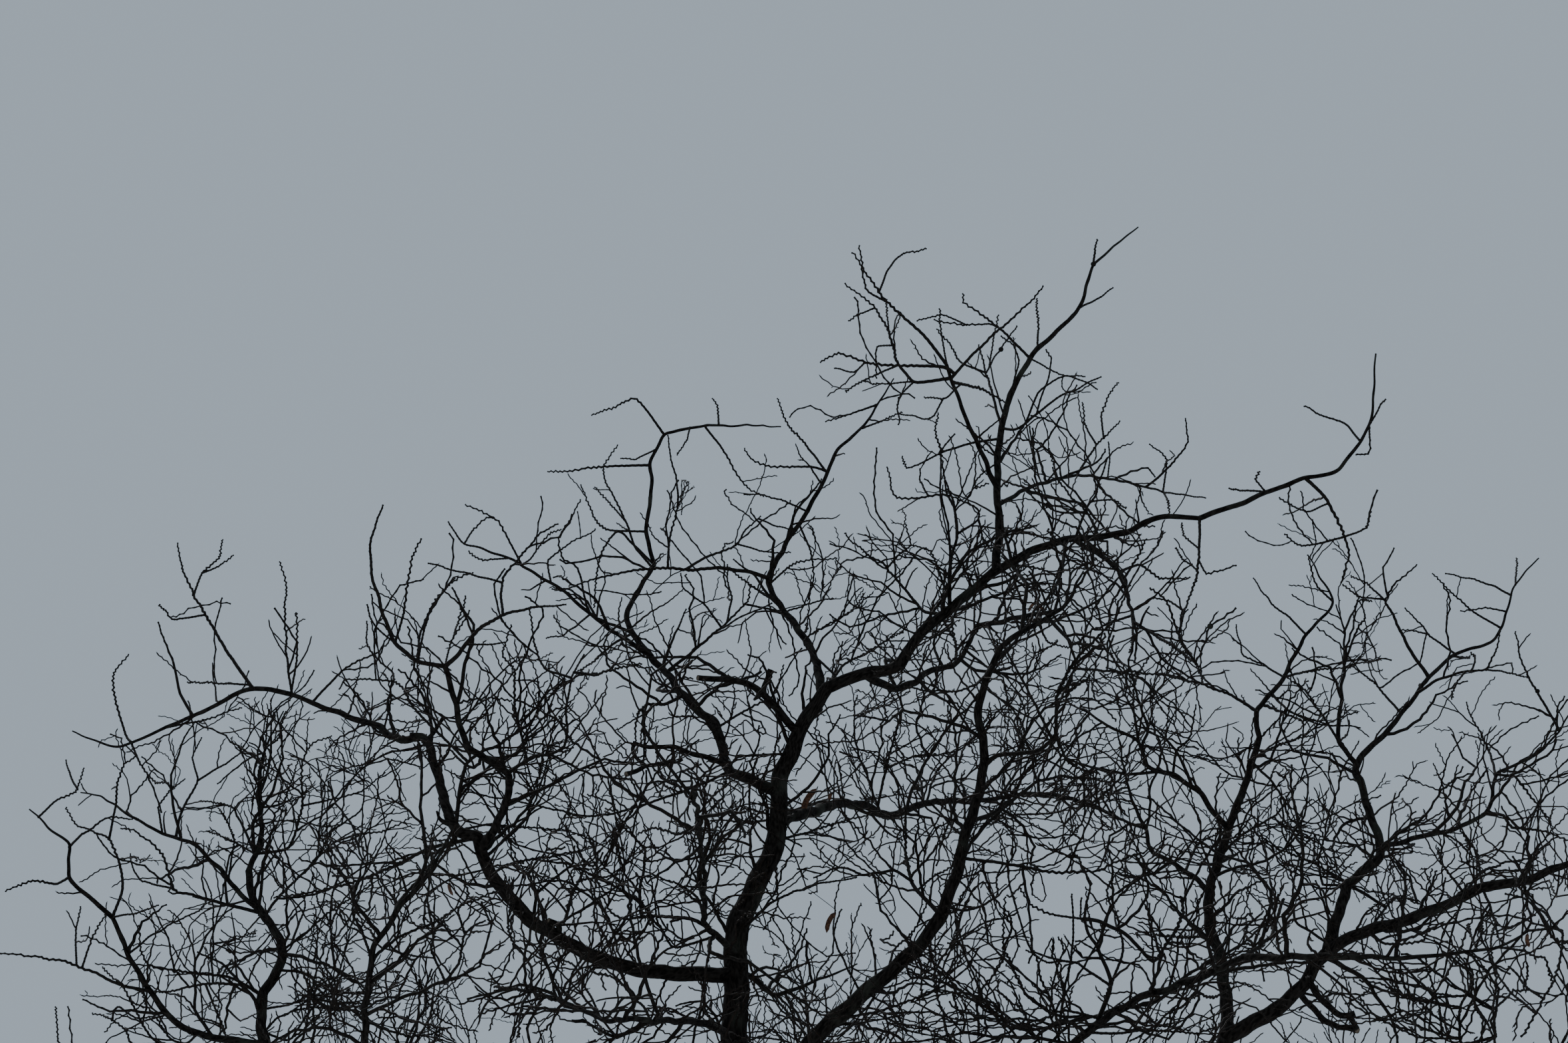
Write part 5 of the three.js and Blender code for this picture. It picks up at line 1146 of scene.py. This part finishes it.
# Twigs. A strand is one twig: its points and radii. Shoots are older, twigs grew last year.
print("twigs")
levels = {
    # A twig grows smooth at first and then zigzags from node to node; here and there it turns.
    "offshoot": {"internode": 0.03, "smooth": 0.75, "kink": 0.3, "bow": (0.5, 2.4), "lift": 0.55,
                 "turnEvery": (0.14, 0.3), "turn": (15, 42), "foot": 0.0125, "tip": 0.005,
                 "side": {"level": "branchlet", "every": (0.11, 0.24), "length": (0.2, 0.7)}},
    "branchlet": {"internode": 0.021, "smooth": 0.5, "kink": 0.32, "bow": (0.5, 2.8), "lift": 0.55,
                  "turnEvery": (0.1, 0.24), "turn": (12, 40), "foot": 0.0082, "tip": 0.0046,
                  "side": {"level": "twig", "every": (0.13, 0.34), "length": (0.06, 0.3)}},
    "twig": {"internode": 0.02, "smooth": 0.3, "kink": 0.38, "bow": (0.6, 3.2), "lift": 0.4,
             "turnEvery": (0.08, 0.2), "turn": (10, 35), "foot": 0.006, "tip": 0.0044,
             "side": {"level": "spur", "every": (0.14, 0.36), "length": (0.02, 0.06)}},
    "spur": {"internode": 0.017, "smooth": 0.0, "kink": 0.45, "bow": (0.5, 4.0), "lift": 0.4,
             "turnEvery": (1, 2), "turn": (0, 1), "foot": 0.0046, "tip": 0.0036},
}
# What leaves a limb, and what leaves its shoots.
limbTwigs = {"level": "branchlet", "every": (0.1, 0.24), "length": (0.22, 0.8), "lean": (45, 75),
             "first": 0.8}
limbShoots = {"level": "offshoot", "every": (0.2, 0.42), "length": (0.5, 1.3), "lean": (35, 70),
              "first": 0.5}
sideTwigs = {"level": "branchlet", "every": (0.11, 0.24), "length": (0.2, 0.7), "lean": (35, 65)}
sideShoots = {**limbShoots, "first": 0.3, "thickFrom": 0.0065}
grow = {
    "lowest": 3.4, "full": 4.2, "room": 0.1, "thinnest": 0.05, "barest": 0.14,
    "bareShare": 0.2, "bareStemShare": 0.45, "first": 0.3, "last": 0.97, "lean": (30, 65),
    "fewestPoints": 3,
    # Within a strand: older growth has longer internodes and kinks less.
    "oldPace": 1.6, "paceRange": (0.8, 1.2), "drift": 0.07, "oldKink": 0.55,
    "kinkRange": (0.5, 1.4),
    # A side twig against its strand; it is shorter near the tip and where the crown is thin.
    "turnSpread": 0.9, "lift": 0.12, "tipLoss": 0.35, "thinLength": 0.6, "girth": 0.9,
    "girthRange": (0.85, 1.1), "sideFrom": 0.12,
}

# On the board: the crown's edge, the line below which it is full, and clearings in it.
crownEdge = [
    (-4.72, -2.18), (-4.48, -1.76), (-4.28, -1.26), (-3.98, -0.8), (-3.65, -0.13), (-3.38, -0.13),
    (-3.25, -0.9), (-2.98, -0.26), (-2.72, -0.78), (-2.45, 0.07), (-2.18, -0.1), (-1.92, 0.09),
    (-1.38, 0.3), (-1.15, 0.66), (-0.92, 0.74), (-0.05, 0.74), (0.25, 1.0), (0.42, 1.64),
    (0.82, 1.64), (1.08, 1.37), (1.55, 1.4), (1.88, 1.7), (2.14, 1.77), (2.18, 0.84),
    (2.45, 0.6), (2.82, 0.27), (3.14, 0.67), (3.58, 1.0), (3.6, 0), (4.52, -0.23), (5.4, -1.6),
]
crownFull = [
    (-4.6, -2.9), (-3.74, -1.7), (-2.95, -1.5), (-2.16, -1.38), (-1.38, -1.22), (-0.98, -1.58),
    (-0.59, -0.98), (-0.2, -0.86), (0.59, -0.6), (0.98, -0.2), (1.77, -0.1), (2.16, -1.2),
    (2.55, -1.6), (3.34, -1.7), (3.73, -1.9), (4.52, -1.9), (5.4, -2.8),
]
# Each opening: place, radius, and share of the twigs left out in the middle.
openings = [
    (1.62, -2.42, 0.34, 1.0), (0.59, 0.26, 0.3, 0.9), (2.76, -0.38, 0.4, 0.9),
    (0.2, -2.46, 0.28, 1.0), (1.0, -1.0, 0.4, 0.15), (-1.9, -0.75, 0.4, 0.3),
    (-2.3, -1.95, 0.4, 0.25), (1.0, -2.75, 0.35, 0.3), (1.77, -0.55, 0.4, 0.35),
    (3.95, -2.55, 0.5, 0.4), (-0.95, -1.75, 0.4, 0.2), (-4.25, -2.1, 0.6, 0.75),
    (-4.5, -2.95, 0.6, 1.0), (-3.5, -1.75, 0.5, 0.3), (-3.3, -2.5, 0.5, 0.3),
    (3.0, -2.85, 0.5, 0.35), (2.05, 0.75, 0.4, 0.8), (-0.06, -0.84, 0.26, 1.0),
]
crowns = {}
wholeRoom = ([side - grow["room"] for side in cadBox[0]],
             [side + grow["room"] for side in cadBox[1]])


def fullness(point):
    # From 0 at the crown's edge to 1 where it is full, and below 0 outside it.
    across, up = onBoard(point)
    edge = np.interp(across, *zip(*crownEdge))
    full = np.interp(across, *zip(*crownFull))
    inside = min(1, (edge - up) / (edge - full))
    if inside > 0:
        for x, y, radius, left in openings:
            inside *= 1 - left * math.exp(-((across - x) ** 2 + (up - y) ** 2) / radius ** 2)
    return min(inside, (point.z - grow["lowest"]) / (grow["full"] - grow["lowest"]))


def strandsOf(crown, kind):
    return crowns.setdefault(crown, {"shoots": [], "twigs": []})[kind]


def inRoom(point, room):
    return all(room[0][i] <= point[i] <= room[1][i] for i in range(3))


def trimmed(path, radii):
    # A strand as far as it stays within the crown's reach.
    count = next((i for i, point in enumerate(path) if not inRoom(point, wholeRoom)), len(path))
    return path[:count], radii[:count]


def byTurns(number):
    return 1 if number % 2 else -1


def growStrand(chance, start, heading, length, foot, tip, rule, room):
    points, radii = [start], [foot]
    plane = strayedSide(heading, chance)
    sweep = (strayedSide(heading, chance) + upright * rule["lift"]).normalized()
    bow = chance.between(*rule["bow"])
    reach, nextTurn = 0, chance.between(*rule["turnEvery"])
    while reach < length:
        young = reach / length >= rule["smooth"]
        pace = rule["internode"] * (1 if young else grow["oldPace"])
        pace *= chance.between(*grow["paceRange"])
        drift = strayedSide(heading, chance)
        heading = (heading + sweep * bow * pace + drift * grow["drift"]).normalized()
        if reach > nextTurn:
            heading = turned(heading, drift, math.radians(chance.between(*rule["turn"])))
            nextTurn += chance.between(*rule["turnEvery"])
        side = (plane - heading * plane.dot(heading)).normalized()
        kink = rule["kink"] * (1 if young else grow["oldKink"])
        kink *= chance.between(*grow["kinkRange"]) * byTurns(len(points))
        point = points[-1] + (heading * math.cos(kink) + side * math.sin(kink)) * pace
        reach += pace
        if not inRoom(point, room) or fullness(point) < grow["thinnest"]:
            break
        points.append(point)
        radii.append(foot + (tip - foot) * min(1, reach / length))
    return points, radii


def spotsAlong(chance, points, every, first):
    # Places for side twigs along a strand: the point's number and its share of the length.
    lengths = pathLengths(points)
    reach = every[1] * chance.between(first, 1)
    spots = []
    while reach < lengths[-1] * grow["last"]:
        index = next(i for i, length in enumerate(lengths) if length >= reach)
        if 0 < index < len(points) - 1:
            spots.append((index, reach / lengths[-1]))
        reach += chance.between(*every)
    return spots


def growAlong(chance, strand, way, crown, room, bare=0, pace=1):
    # Side twigs leave a strand by turns from one side and the other, and grow their own.
    points, radii = strand
    rule = levels[way["level"]]
    every = [pace * step for step in way["every"]]
    spots = spotsAlong(chance, points, every, way.get("first", grow["first"]))
    turn = chance.between(0, 2 * math.pi)
    for index, share in spots:
        if share <= bare:
            continue
        fill = fullness(points[index])
        if way["level"] != "spur" and chance.between(grow["barest"], 1) > fill:
            continue
        along = (points[min(index + 1, len(points) - 1)] - points[index - 1]).normalized()
        turn += math.pi + chance.between(-grow["turnSpread"], grow["turnSpread"])
        out = turned(anySide(along), along, turn)
        lean = math.radians(chance.between(*way.get("lean", grow["lean"])))
        heading = along * math.cos(lean) + out * math.sin(lean) + upright * grow["lift"]
        length = chance.between(*way["length"]) * (1 - grow["tipLoss"] * share)
        length *= grow["thinLength"] + (1 - grow["thinLength"]) * fill
        foot = min(rule["foot"], radii[index] * grow["girth"]) * chance.between(*grow["girthRange"])
        side = growStrand(chance, points[index], heading.normalized(), length, foot,
                          min(rule["tip"], foot), rule, room)
        if len(side[0]) < grow["fewestPoints"]:
            continue
        strandsOf(crown, "shoots" if way["level"] == "offshoot" else "twigs").append(side)
        if "side" in rule and length > grow["sideFrom"]:
            growAlong(chance, side, rule["side"], crown, room)


def kinkedPath(start, heading, end, chance):
    span = (end - start).length
    steps = max(2, round(span / reachShape["step"]))
    sway = chance.between(*reachShape["sway"])
    arrive = ((end - start).normalized() + upright * reachShape["lift"]).normalized()
    corners = [start, start + heading * span * reachShape["ease"],
               end - arrive * span * reachShape["ease"], end]
    path = []
    for step in range(steps + 1):
        t = step / steps
        path.append(corners[0] * (1 - t) ** 3 + corners[1] * 3 * t * (1 - t) ** 2
                    + corners[2] * 3 * t * t * (1 - t) + corners[3] * t ** 3)
    side = strayedSide(arrive, chance)
    for i in range(1, steps):
        path[i] += side * byTurns(i) * sway * span
    return path


def leavePlace(shoots, end):
    # Where a shoot leaves for its end: near it, and heading its way.
    best = None
    for path, radii in shoots:
        for i in range(1, len(path) - 1):
            along = (path[i + 1] - path[i - 1]).normalized()
            toEnd = end - path[i]
            agreed = toEnd.normalized().dot(along)
            cost = toEnd.length * (reachShape["cost"] - agreed * reachShape["gain"])
            if best is None or cost < best[0]:
                best = (cost, path[i], along, radii[i])
    return best[1:]


# Shoots that reach the ends named for the hidden boughs, and more ends strewn between them.
reachShape = {
    "moreEnds": 9, "stray": 0.9, "step": 0.3, "sway": (0.015, 0.04), "lift": 0.3, "ease": 0.3,
    "girth": 0.85, "foot": 0.011, "pace": 0.55, "cost": 1.5, "gain": 0.7, "turn": 0.5,
}


def addReaches(chance, row, shoots, corners):
    ends = [Vector(place) for place in hiddenEnds[row["name"]]]
    corners += ends
    low, high = boxOf(corners)
    for _ in range(reachShape["moreEnds"]):
        stray = Vector([chance.between(-1, 1) for _ in range(3)]) * reachShape["stray"]
        end = ends[int(chance.between(0, len(ends) - 0.01))] + stray
        ends.append(Vector([max(low[i], min(high[i], end[i])) for i in range(3)]))
    for end in ends:
        leave, along, girth = leavePlace(shoots, end)
        heading = along.lerp((end - leave).normalized(), reachShape["turn"]).normalized()
        path = kinkedPath(leave, heading, end, chance)
        foot = min(girth * reachShape["girth"], reachShape["foot"])
        shoots.append((path, taper(path, foot, sideShape["tip"])))


def boxOf(points):
    return [[pick(point[i] for point in points) for i in range(3)] for pick in (min, max)]


# A shoot wavers a little at its foot and zigzags where it grew last year.
shootShape = {
    "step": 0.019, "barkStep": 0.03, "youngFrom": 0.25, "youngOver": 0.2, "sway": 0.0008,
    "youngSway": 0.0034, "swayRange": (0.2, 1.6), "waver": 0.012, "waverPace": 0.19,
    "waverEase": 12, "waverTurn": 1.3,
}


def roughened(path, radii, chance):
    fine, fineRadii = finePath(path, radii, shootShape["step"])
    headings, sides = ringFrames(fine)
    turn = chance.between(0, 2 * math.pi)
    shift = chance.between(0, noiseSpan)
    for i in range(1, len(fine)):
        young = (i / len(fine) - shootShape["youngFrom"]) / shootShape["youngOver"]
        sway = shootShape["sway"] + shootShape["youngSway"] * max(0, min(1, young))
        sway *= byTurns(i) * chance.between(*shootShape["swayRange"])
        slow = noise.noise(Vector((shift, i * shootShape["waverPace"], 0))) * shootShape["waver"]
        slow *= min(1, i / shootShape["waverEase"])
        side = turned(sides[i], headings[i], turn)
        fine[i] = fine[i] + side * sway + turned(side, headings[i], shootShape["waverTurn"]) * slow
    return fine, fineRadii


for index, row in enumerate(boughs):
    chance = chanceFor("twigs", index)
    limb = limbs[row["name"]]
    crown = row["crown"]
    # Where no shoots were measured, on the far and near sides, more grow by chance.
    wild = row["name"] in hiddenEnds
    bare = grow["bareStemShare" if row["name"] == "stem_centre" else "bareShare"]
    strand = (limb["fine"], limb["fineRadii"])
    growAlong(chance, strand, limbTwigs, crown, wholeRoom, bare)
    growAlong(chance, strand, limbShoots, crown, wholeRoom, bare, reachShape["pace"] if wild else 1)
    shoots = families[row["name"]][1:]
    corners = [point for path, _ in shoots for point in path]
    if wild:
        addReaches(chance, row, shoots, corners)
    if not shoots:
        continue
    low, high = boxOf(corners)
    room = ([max(low[i] - grow["room"], wholeRoom[0][i]) for i in range(3)],
            [min(high[i] + grow["room"], wholeRoom[1][i]) for i in range(3)])
    for path, radii in shoots:
        if barked(radii):
            strand = finePath(path, radii, shootShape["barkStep"])
        else:
            strand = trimmed(*roughened(path, radii, chance))
            if len(strand[0]) < grow["fewestPoints"]:
                continue
            strandsOf(crown, "shoots").append(strand)
        if wild or strand[1][0] > sideShoots["thickFrom"]:
            growAlong(chance, strand, sideShoots, crown, room)
        growAlong(chance, strand, sideTwigs, crown, room)


# Geometry nodes turn each crown's strands into tubes, and its buds into small cones.
def newGroup(name, sockets):
    group = bpy.data.node_groups.new(name, "GeometryNodeTree")
    group.interface.new_socket("Geometry", in_out="INPUT", socket_type="NodeSocketGeometry")
    for socketName, kind, value in sockets:
        socket = group.interface.new_socket(socketName, in_out="INPUT", socket_type=kind)
        if value is not None:
            socket.default_value = value
    group.interface.new_socket("Geometry", in_out="OUTPUT", socket_type="NodeSocketGeometry")
    return group, group.nodes.new("NodeGroupInput").outputs, group.nodes.new("NodeGroupOutput")


def finishGroup(group, given, result, geometry):
    # Every group ends with real geometry that wears the given look.
    real = addNode(group, "GeometryNodeRealizeInstances", {"Geometry": geometry})
    looked = addNode(group, "GeometryNodeSetMaterial", {
        "Geometry": real.outputs["Geometry"], "Material": given["Look"]})
    group.links.new(looked.outputs["Geometry"], result.inputs["Geometry"])
    return group


def addMath(group, operation, first, second):
    return addNode(group, "ShaderNodeMath", {0: first, 1: second}, operation=operation).outputs[0]


def makeTubeGroup():
    group, given, result = newGroup("strandTubes", [
        ("Sides", "NodeSocketInt", 3), ("Thickness", "NodeSocketFloat", 1.0),
        ("Look", "NodeSocketMaterial", None)])
    girth = addNode(group, "GeometryNodeInputNamedAttribute", {"Name": "girth"})
    scale = addMath(group, "MULTIPLY", girth.outputs["Attribute"], given["Thickness"])
    lines = addNode(group, "GeometryNodeMeshToCurve", {"Mesh": given["Geometry"]})
    ring = addNode(group, "GeometryNodeCurvePrimitiveCircle", {
        "Resolution": given["Sides"], "Radius": 1.0})
    tubes = addNode(group, "GeometryNodeCurveToMesh", {
        "Curve": lines.outputs["Curve"], "Profile Curve": ring.outputs["Curve"],
        "Scale": scale, "Fill Caps": True})
    smooth = addNode(group, "GeometryNodeSetShadeSmooth", {"Geometry": tubes.outputs["Mesh"]})
    return finishGroup(group, given, result, smooth.outputs["Geometry"])


def makeBudGroup():
    group, given, result = newGroup("buds", [
        ("Size", "NodeSocketFloat", 0.004), ("Spread", "NodeSocketFloat", 0.3),
        ("Seed", "NodeSocketInt", 5), ("Look", "NodeSocketMaterial", None)])
    aim = addNode(group, "GeometryNodeInputNamedAttribute", {"Name": "aim"},
                  data_type="FLOAT_VECTOR")
    turn = addNode(group, "FunctionNodeAlignRotationToVector", {"Vector": aim.outputs["Attribute"]},
                   axis="Z")
    size = addNode(group, "FunctionNodeRandomValue", {
        2: addMath(group, "SUBTRACT", 1.0, given["Spread"]),
        3: addMath(group, "ADD", 1.0, given["Spread"]), "Seed": given["Seed"]}, data_type="FLOAT")
    cone = addNode(group, "GeometryNodeMeshCone", {
        "Vertices": 3, "Radius Top": 0.12, "Radius Bottom": 1.0, "Depth": 2.2})
    points = addNode(group, "GeometryNodeMeshToPoints", {"Mesh": given["Geometry"]})
    placed = addNode(group, "GeometryNodeInstanceOnPoints", {
        "Points": points.outputs["Points"], "Instance": cone.outputs["Mesh"],
        "Rotation": turn.outputs["Rotation"],
        "Scale": addMath(group, "MULTIPLY", size.outputs[1], given["Size"])})
    return finishGroup(group, given, result, placed.outputs["Instances"])


def setInputs(modifier, group, values):
    for item in group.interface.items_tree:
        if item.item_type == "SOCKET" and item.in_out == "INPUT" and item.name in values:
            modifier[item.identifier] = values[item.name]


def grown(name, mesh, group, values, look):
    # Runs the node group on the mesh and keeps its result as a plain mesh.
    seedObject = linked(name + "_seed", mesh)
    modifier = seedObject.modifiers.new("grow", "NODES")
    modifier.node_group = group
    setInputs(modifier, group, {**values, "Look": look})
    bpy.context.view_layer.update()
    evaluated = seedObject.evaluated_get(bpy.context.evaluated_depsgraph_get())
    result = bpy.data.meshes.new_from_object(evaluated)
    bpy.data.objects.remove(seedObject)
    result.name = name
    result.materials.clear()
    result.materials.append(look)
    return linked(name, result)


def newMesh(name, points, edges, label, kind, field, values):
    mesh = bpy.data.meshes.new(name)
    mesh.from_pydata([tuple(point) for point in points], edges, [])
    mesh.attributes.new(label, kind, "POINT").data.foreach_set(field, values)
    return mesh


# Young growth is thicker at its nodes than between them; it is full-grown at this radius.
beads = {"grown": 0.005, "fade": 1.8, "waist": 0.14, "node": 0.3}


def lineMesh(name, strands, beaded):
    # Strands as loose edges, with a point between two nodes where the growth is young.
    points, edges, girths = [], [], []
    for path, radii in strands:
        for i, (point, radius) in enumerate(zip(path, radii)):
            young = max(0, min(1, beads["fade"] - radius / beads["grown"])) if beaded else 0
            if i > 0:
                if young > 0:
                    points.append((path[i - 1] + point) / 2)
                    girths.append((radii[i - 1] + radius) / 2 * (1 - beads["waist"] * young))
                    edges.append((len(points) - 2, len(points) - 1))
                edges.append((len(points) - 1, len(points)))
            points.append(point)
            girths.append(radius * (1 + beads["node"] * young if i > 0 else 1))
    return newMesh(name, points, edges, "girth", "FLOAT", "value", girths)


# A bud at each twig's tip, and at one node in seven.
budShape = {"every": 7, "first": 3, "lean": 0.8, "past": 0.002, "straight": 1e-5}


def budMesh(name, strands):
    points, aims = [], []
    for path, radii in strands:
        for i in range(1, len(path)):
            aim = (path[i] - path[i - 1]).normalized()
            if i < len(path) - 1:
                out = path[i] * 2 - path[i - 1] - path[i + 1]
                if out.length < budShape["straight"] or i % budShape["every"] != budShape["first"]:
                    continue
                aim = (out.normalized() + aim * budShape["lean"]).normalized()
                points.append(path[i] + aim * radii[i])
            else:
                points.append(path[i] + aim * budShape["past"])
            aims.extend(aim)
    return newMesh(name, points, [], "aim", "FLOAT_VECTOR", "vector", aims)


tubeGroup = makeTubeGroup()
budGroup = makeBudGroup()
tubes = {"shoots": {"Sides": 5, "Thickness": 1.0}, "twigs": {"Sides": 3, "Thickness": 1.0}}
buds = {"Size": 0.0034, "Spread": 0.3, "Seed": 5}
twigPieces = {}
for crown, kinds in crowns.items():
    made = []
    for kind, strands in kinds.items():
        mesh = lineMesh(kind, strands, kind == "shoots")
        made.append(grown(f"{kind}_{crown}", mesh, tubeGroup, tubes[kind], materials[kind]))
    mesh = budMesh("buds", kinds["twigs"])
    made.append(grown(f"buds_{crown}", mesh, budGroup, buds, materials["buds"]))
    twigPieces[crown] = made
    for piece in made:
        print(piece.name, sum(len(face.vertices) - 2 for face in piece.data.polygons))

# Pods: flat blades, bulging over their seeds, each on a thin stalk from the nearest shoot.
print("pods")
podShape = {
    "thickness": 0.006, "bow": 0.1, "seeds": 5, "bulge": 0.3, "rings": 26, "sides": 12,
    "turn": 0.5, "twist": 0.7, "topShare": (0.12, 0.16), "endShare": (0.1, 0.2), "edge": 3,
    "ragged": 0.07, "raggedPace": 9,
    "stalk": 0.0018, "stalkBends": (-0.1, 0.04), "stalkStep": 0.02, "stalkSides": 6,
}


def nearestShoot(place):
    points = [point for kinds in crowns.values() for path, _ in kinds["shoots"] + kinds["twigs"]
              for point in path]
    return min(points, key=lambda point: (point - place).length)


def addPod(shell, top, end, width, chance):
    along = end - top
    axis = along.normalized()
    across = along.cross(ahead).normalized()
    swing = across * along.length * podShape["bow"] * chance.between(-1, 1)
    flatSide = turned(across, axis, chance.between(-podShape["turn"], podShape["turn"]))
    start = len(shell.points)
    rings, sides = podShape["rings"], podShape["sides"]
    (topLeast, topLength), (endLeast, endLength) = podShape["topShare"], podShape["endShare"]
    for ring in range(rings + 1):
        share = ring / rings
        centre = top + along * share + swing * math.sin(math.pi * share)
        broad = width / 2 * min(1, topLeast + share / topLength, endLeast + (1 - share) / endLength)
        ragged = noise.noise(Vector((share * podShape["raggedPace"], width * 100, 0)))
        broad *= 1 + podShape["ragged"] * ragged
        seed = 0.5 - 0.5 * math.cos(2 * math.pi * podShape["seeds"] * share)
        thick = podShape["thickness"] / 2 * (0.5 + podShape["bulge"] * seed)
        thick *= min(1, broad / width * podShape["edge"])
        twist = turned(flatSide, axis, podShape["twist"] * (share - 0.5))
        over = twist.cross(axis)
        for step in range(sides):
            angle = 2 * math.pi * step / sides
            out = twist * math.cos(angle) * broad
            shell.points.append(centre + out + over * math.sin(angle) * thick)
            shell.values.append(seed)
    shell.closeRings(start, rings, sides, top, end)


# Swellings are knotty balls drawn out along their shoot.
knobShape = {"lean": Vector((0.3, 0, 1)).normalized(), "rings": 10, "sides": 14, "least": 0.02,
             "barkLength": 0.1}


def addKnob(shell, across, up, size):
    shoots = [strand for kinds in crowns.values() for strand in kinds["shoots"]]
    centre = nearestOnBoard(shoots, Vector((across, up)))
    rings, radii = [], []
    for step in range(knobShape["rings"] + 1):
        share = step / knobShape["rings"]
        rings.append(centre + knobShape["lean"] * size / 1000 * (share - 0.5))
        radii.append(size / 2000 * math.sqrt(max(knobShape["least"], 1 - (share * 2 - 1) ** 2)))
    surface = barkSurface(knobShape["barkLength"], chanceFor("knobs", size))
    shell.addTube(rings, radii, knobShape["sides"], shape=surface)


podShell, stalkShell, knobShell = Shell(), Shell(), Shell()
for index, (topPlace, endPlace, away, width) in enumerate(podRows):
    top, end = sighted((*topPlace, away)), sighted((*endPlace, away))
    addPod(podShell, top, end, width / 1000, chanceFor("pods", index))
    # The stalk curves over from the shoot and runs into the pod's top.
    bends = [top.lerp(end, share) for share in podShape["stalkBends"]]
    stalk = smoothPath([nearestShoot(top)] + bends, podShape["stalkStep"])
    stalkShell.addTube(stalk, [podShape["stalk"]] * len(stalk), podShape["stalkSides"])
for knob in knobRows:
    addKnob(knobShell, *knob)
podPieces = [podShell.toObject("pods", ["pods"]), stalkShell.toObject("pod_stalks", ["twigs"]),
             knobShell.toObject("knobs", ["bark"])]

# Floor and soft light.
print("stage")
floorLook = {"size": 90, "drop": 0.002, "colour": (0.62, 0.63, 0.63), "roughness": 0.95}
bpy.ops.mesh.primitive_plane_add(size=floorLook["size"], location=(0, 0, -floorLook["drop"]))
floor = bpy.context.object
floor.name = "floor"
floorMaterial, floorTree, floorShader = newMaterial("floor")
plug(floorTree, floorShader, {"Base Color": (*floorLook["colour"], 1),
                              "Roughness": floorLook["roughness"]})
floor.data.materials.append(floorMaterial)

light = {
    "sky": (0.36, 0.43, 0.5), "skyStrength": 1.0, "sunPower": 1.6, "sunSoftness": math.radians(35),
    "sunTurn": (math.radians(-42), math.radians(-18), 0),
}
world = bpy.data.worlds.new("world")
world.use_nodes = True
plug(world.node_tree, world.node_tree.nodes["Background"], {
    "Color": (*light["sky"], 1), "Strength": light["skyStrength"]})
bpy.context.scene.world = world
sunData = bpy.data.lights.new("sun", "SUN")
sunData.energy = light["sunPower"]
sunData.angle = light["sunSoftness"]
sun = linked("sun", sunData)
sun.rotation_euler = light["sunTurn"]

# Every piece rides on the tree's one body; the bark and twig pieces stand for the nodes they hide.
for name, piece in barkPieces.items():
    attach(piece, "root")
    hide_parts(name)
for piece in podPieces:
    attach(piece, "root")
for crown, made in twigPieces.items():
    nodes = ["twigs_" + row["name"] for row in boughs if row["crown"] == crown and row["lead"]]
    for piece in made:
        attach(piece, "root")
    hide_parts(*nodes)
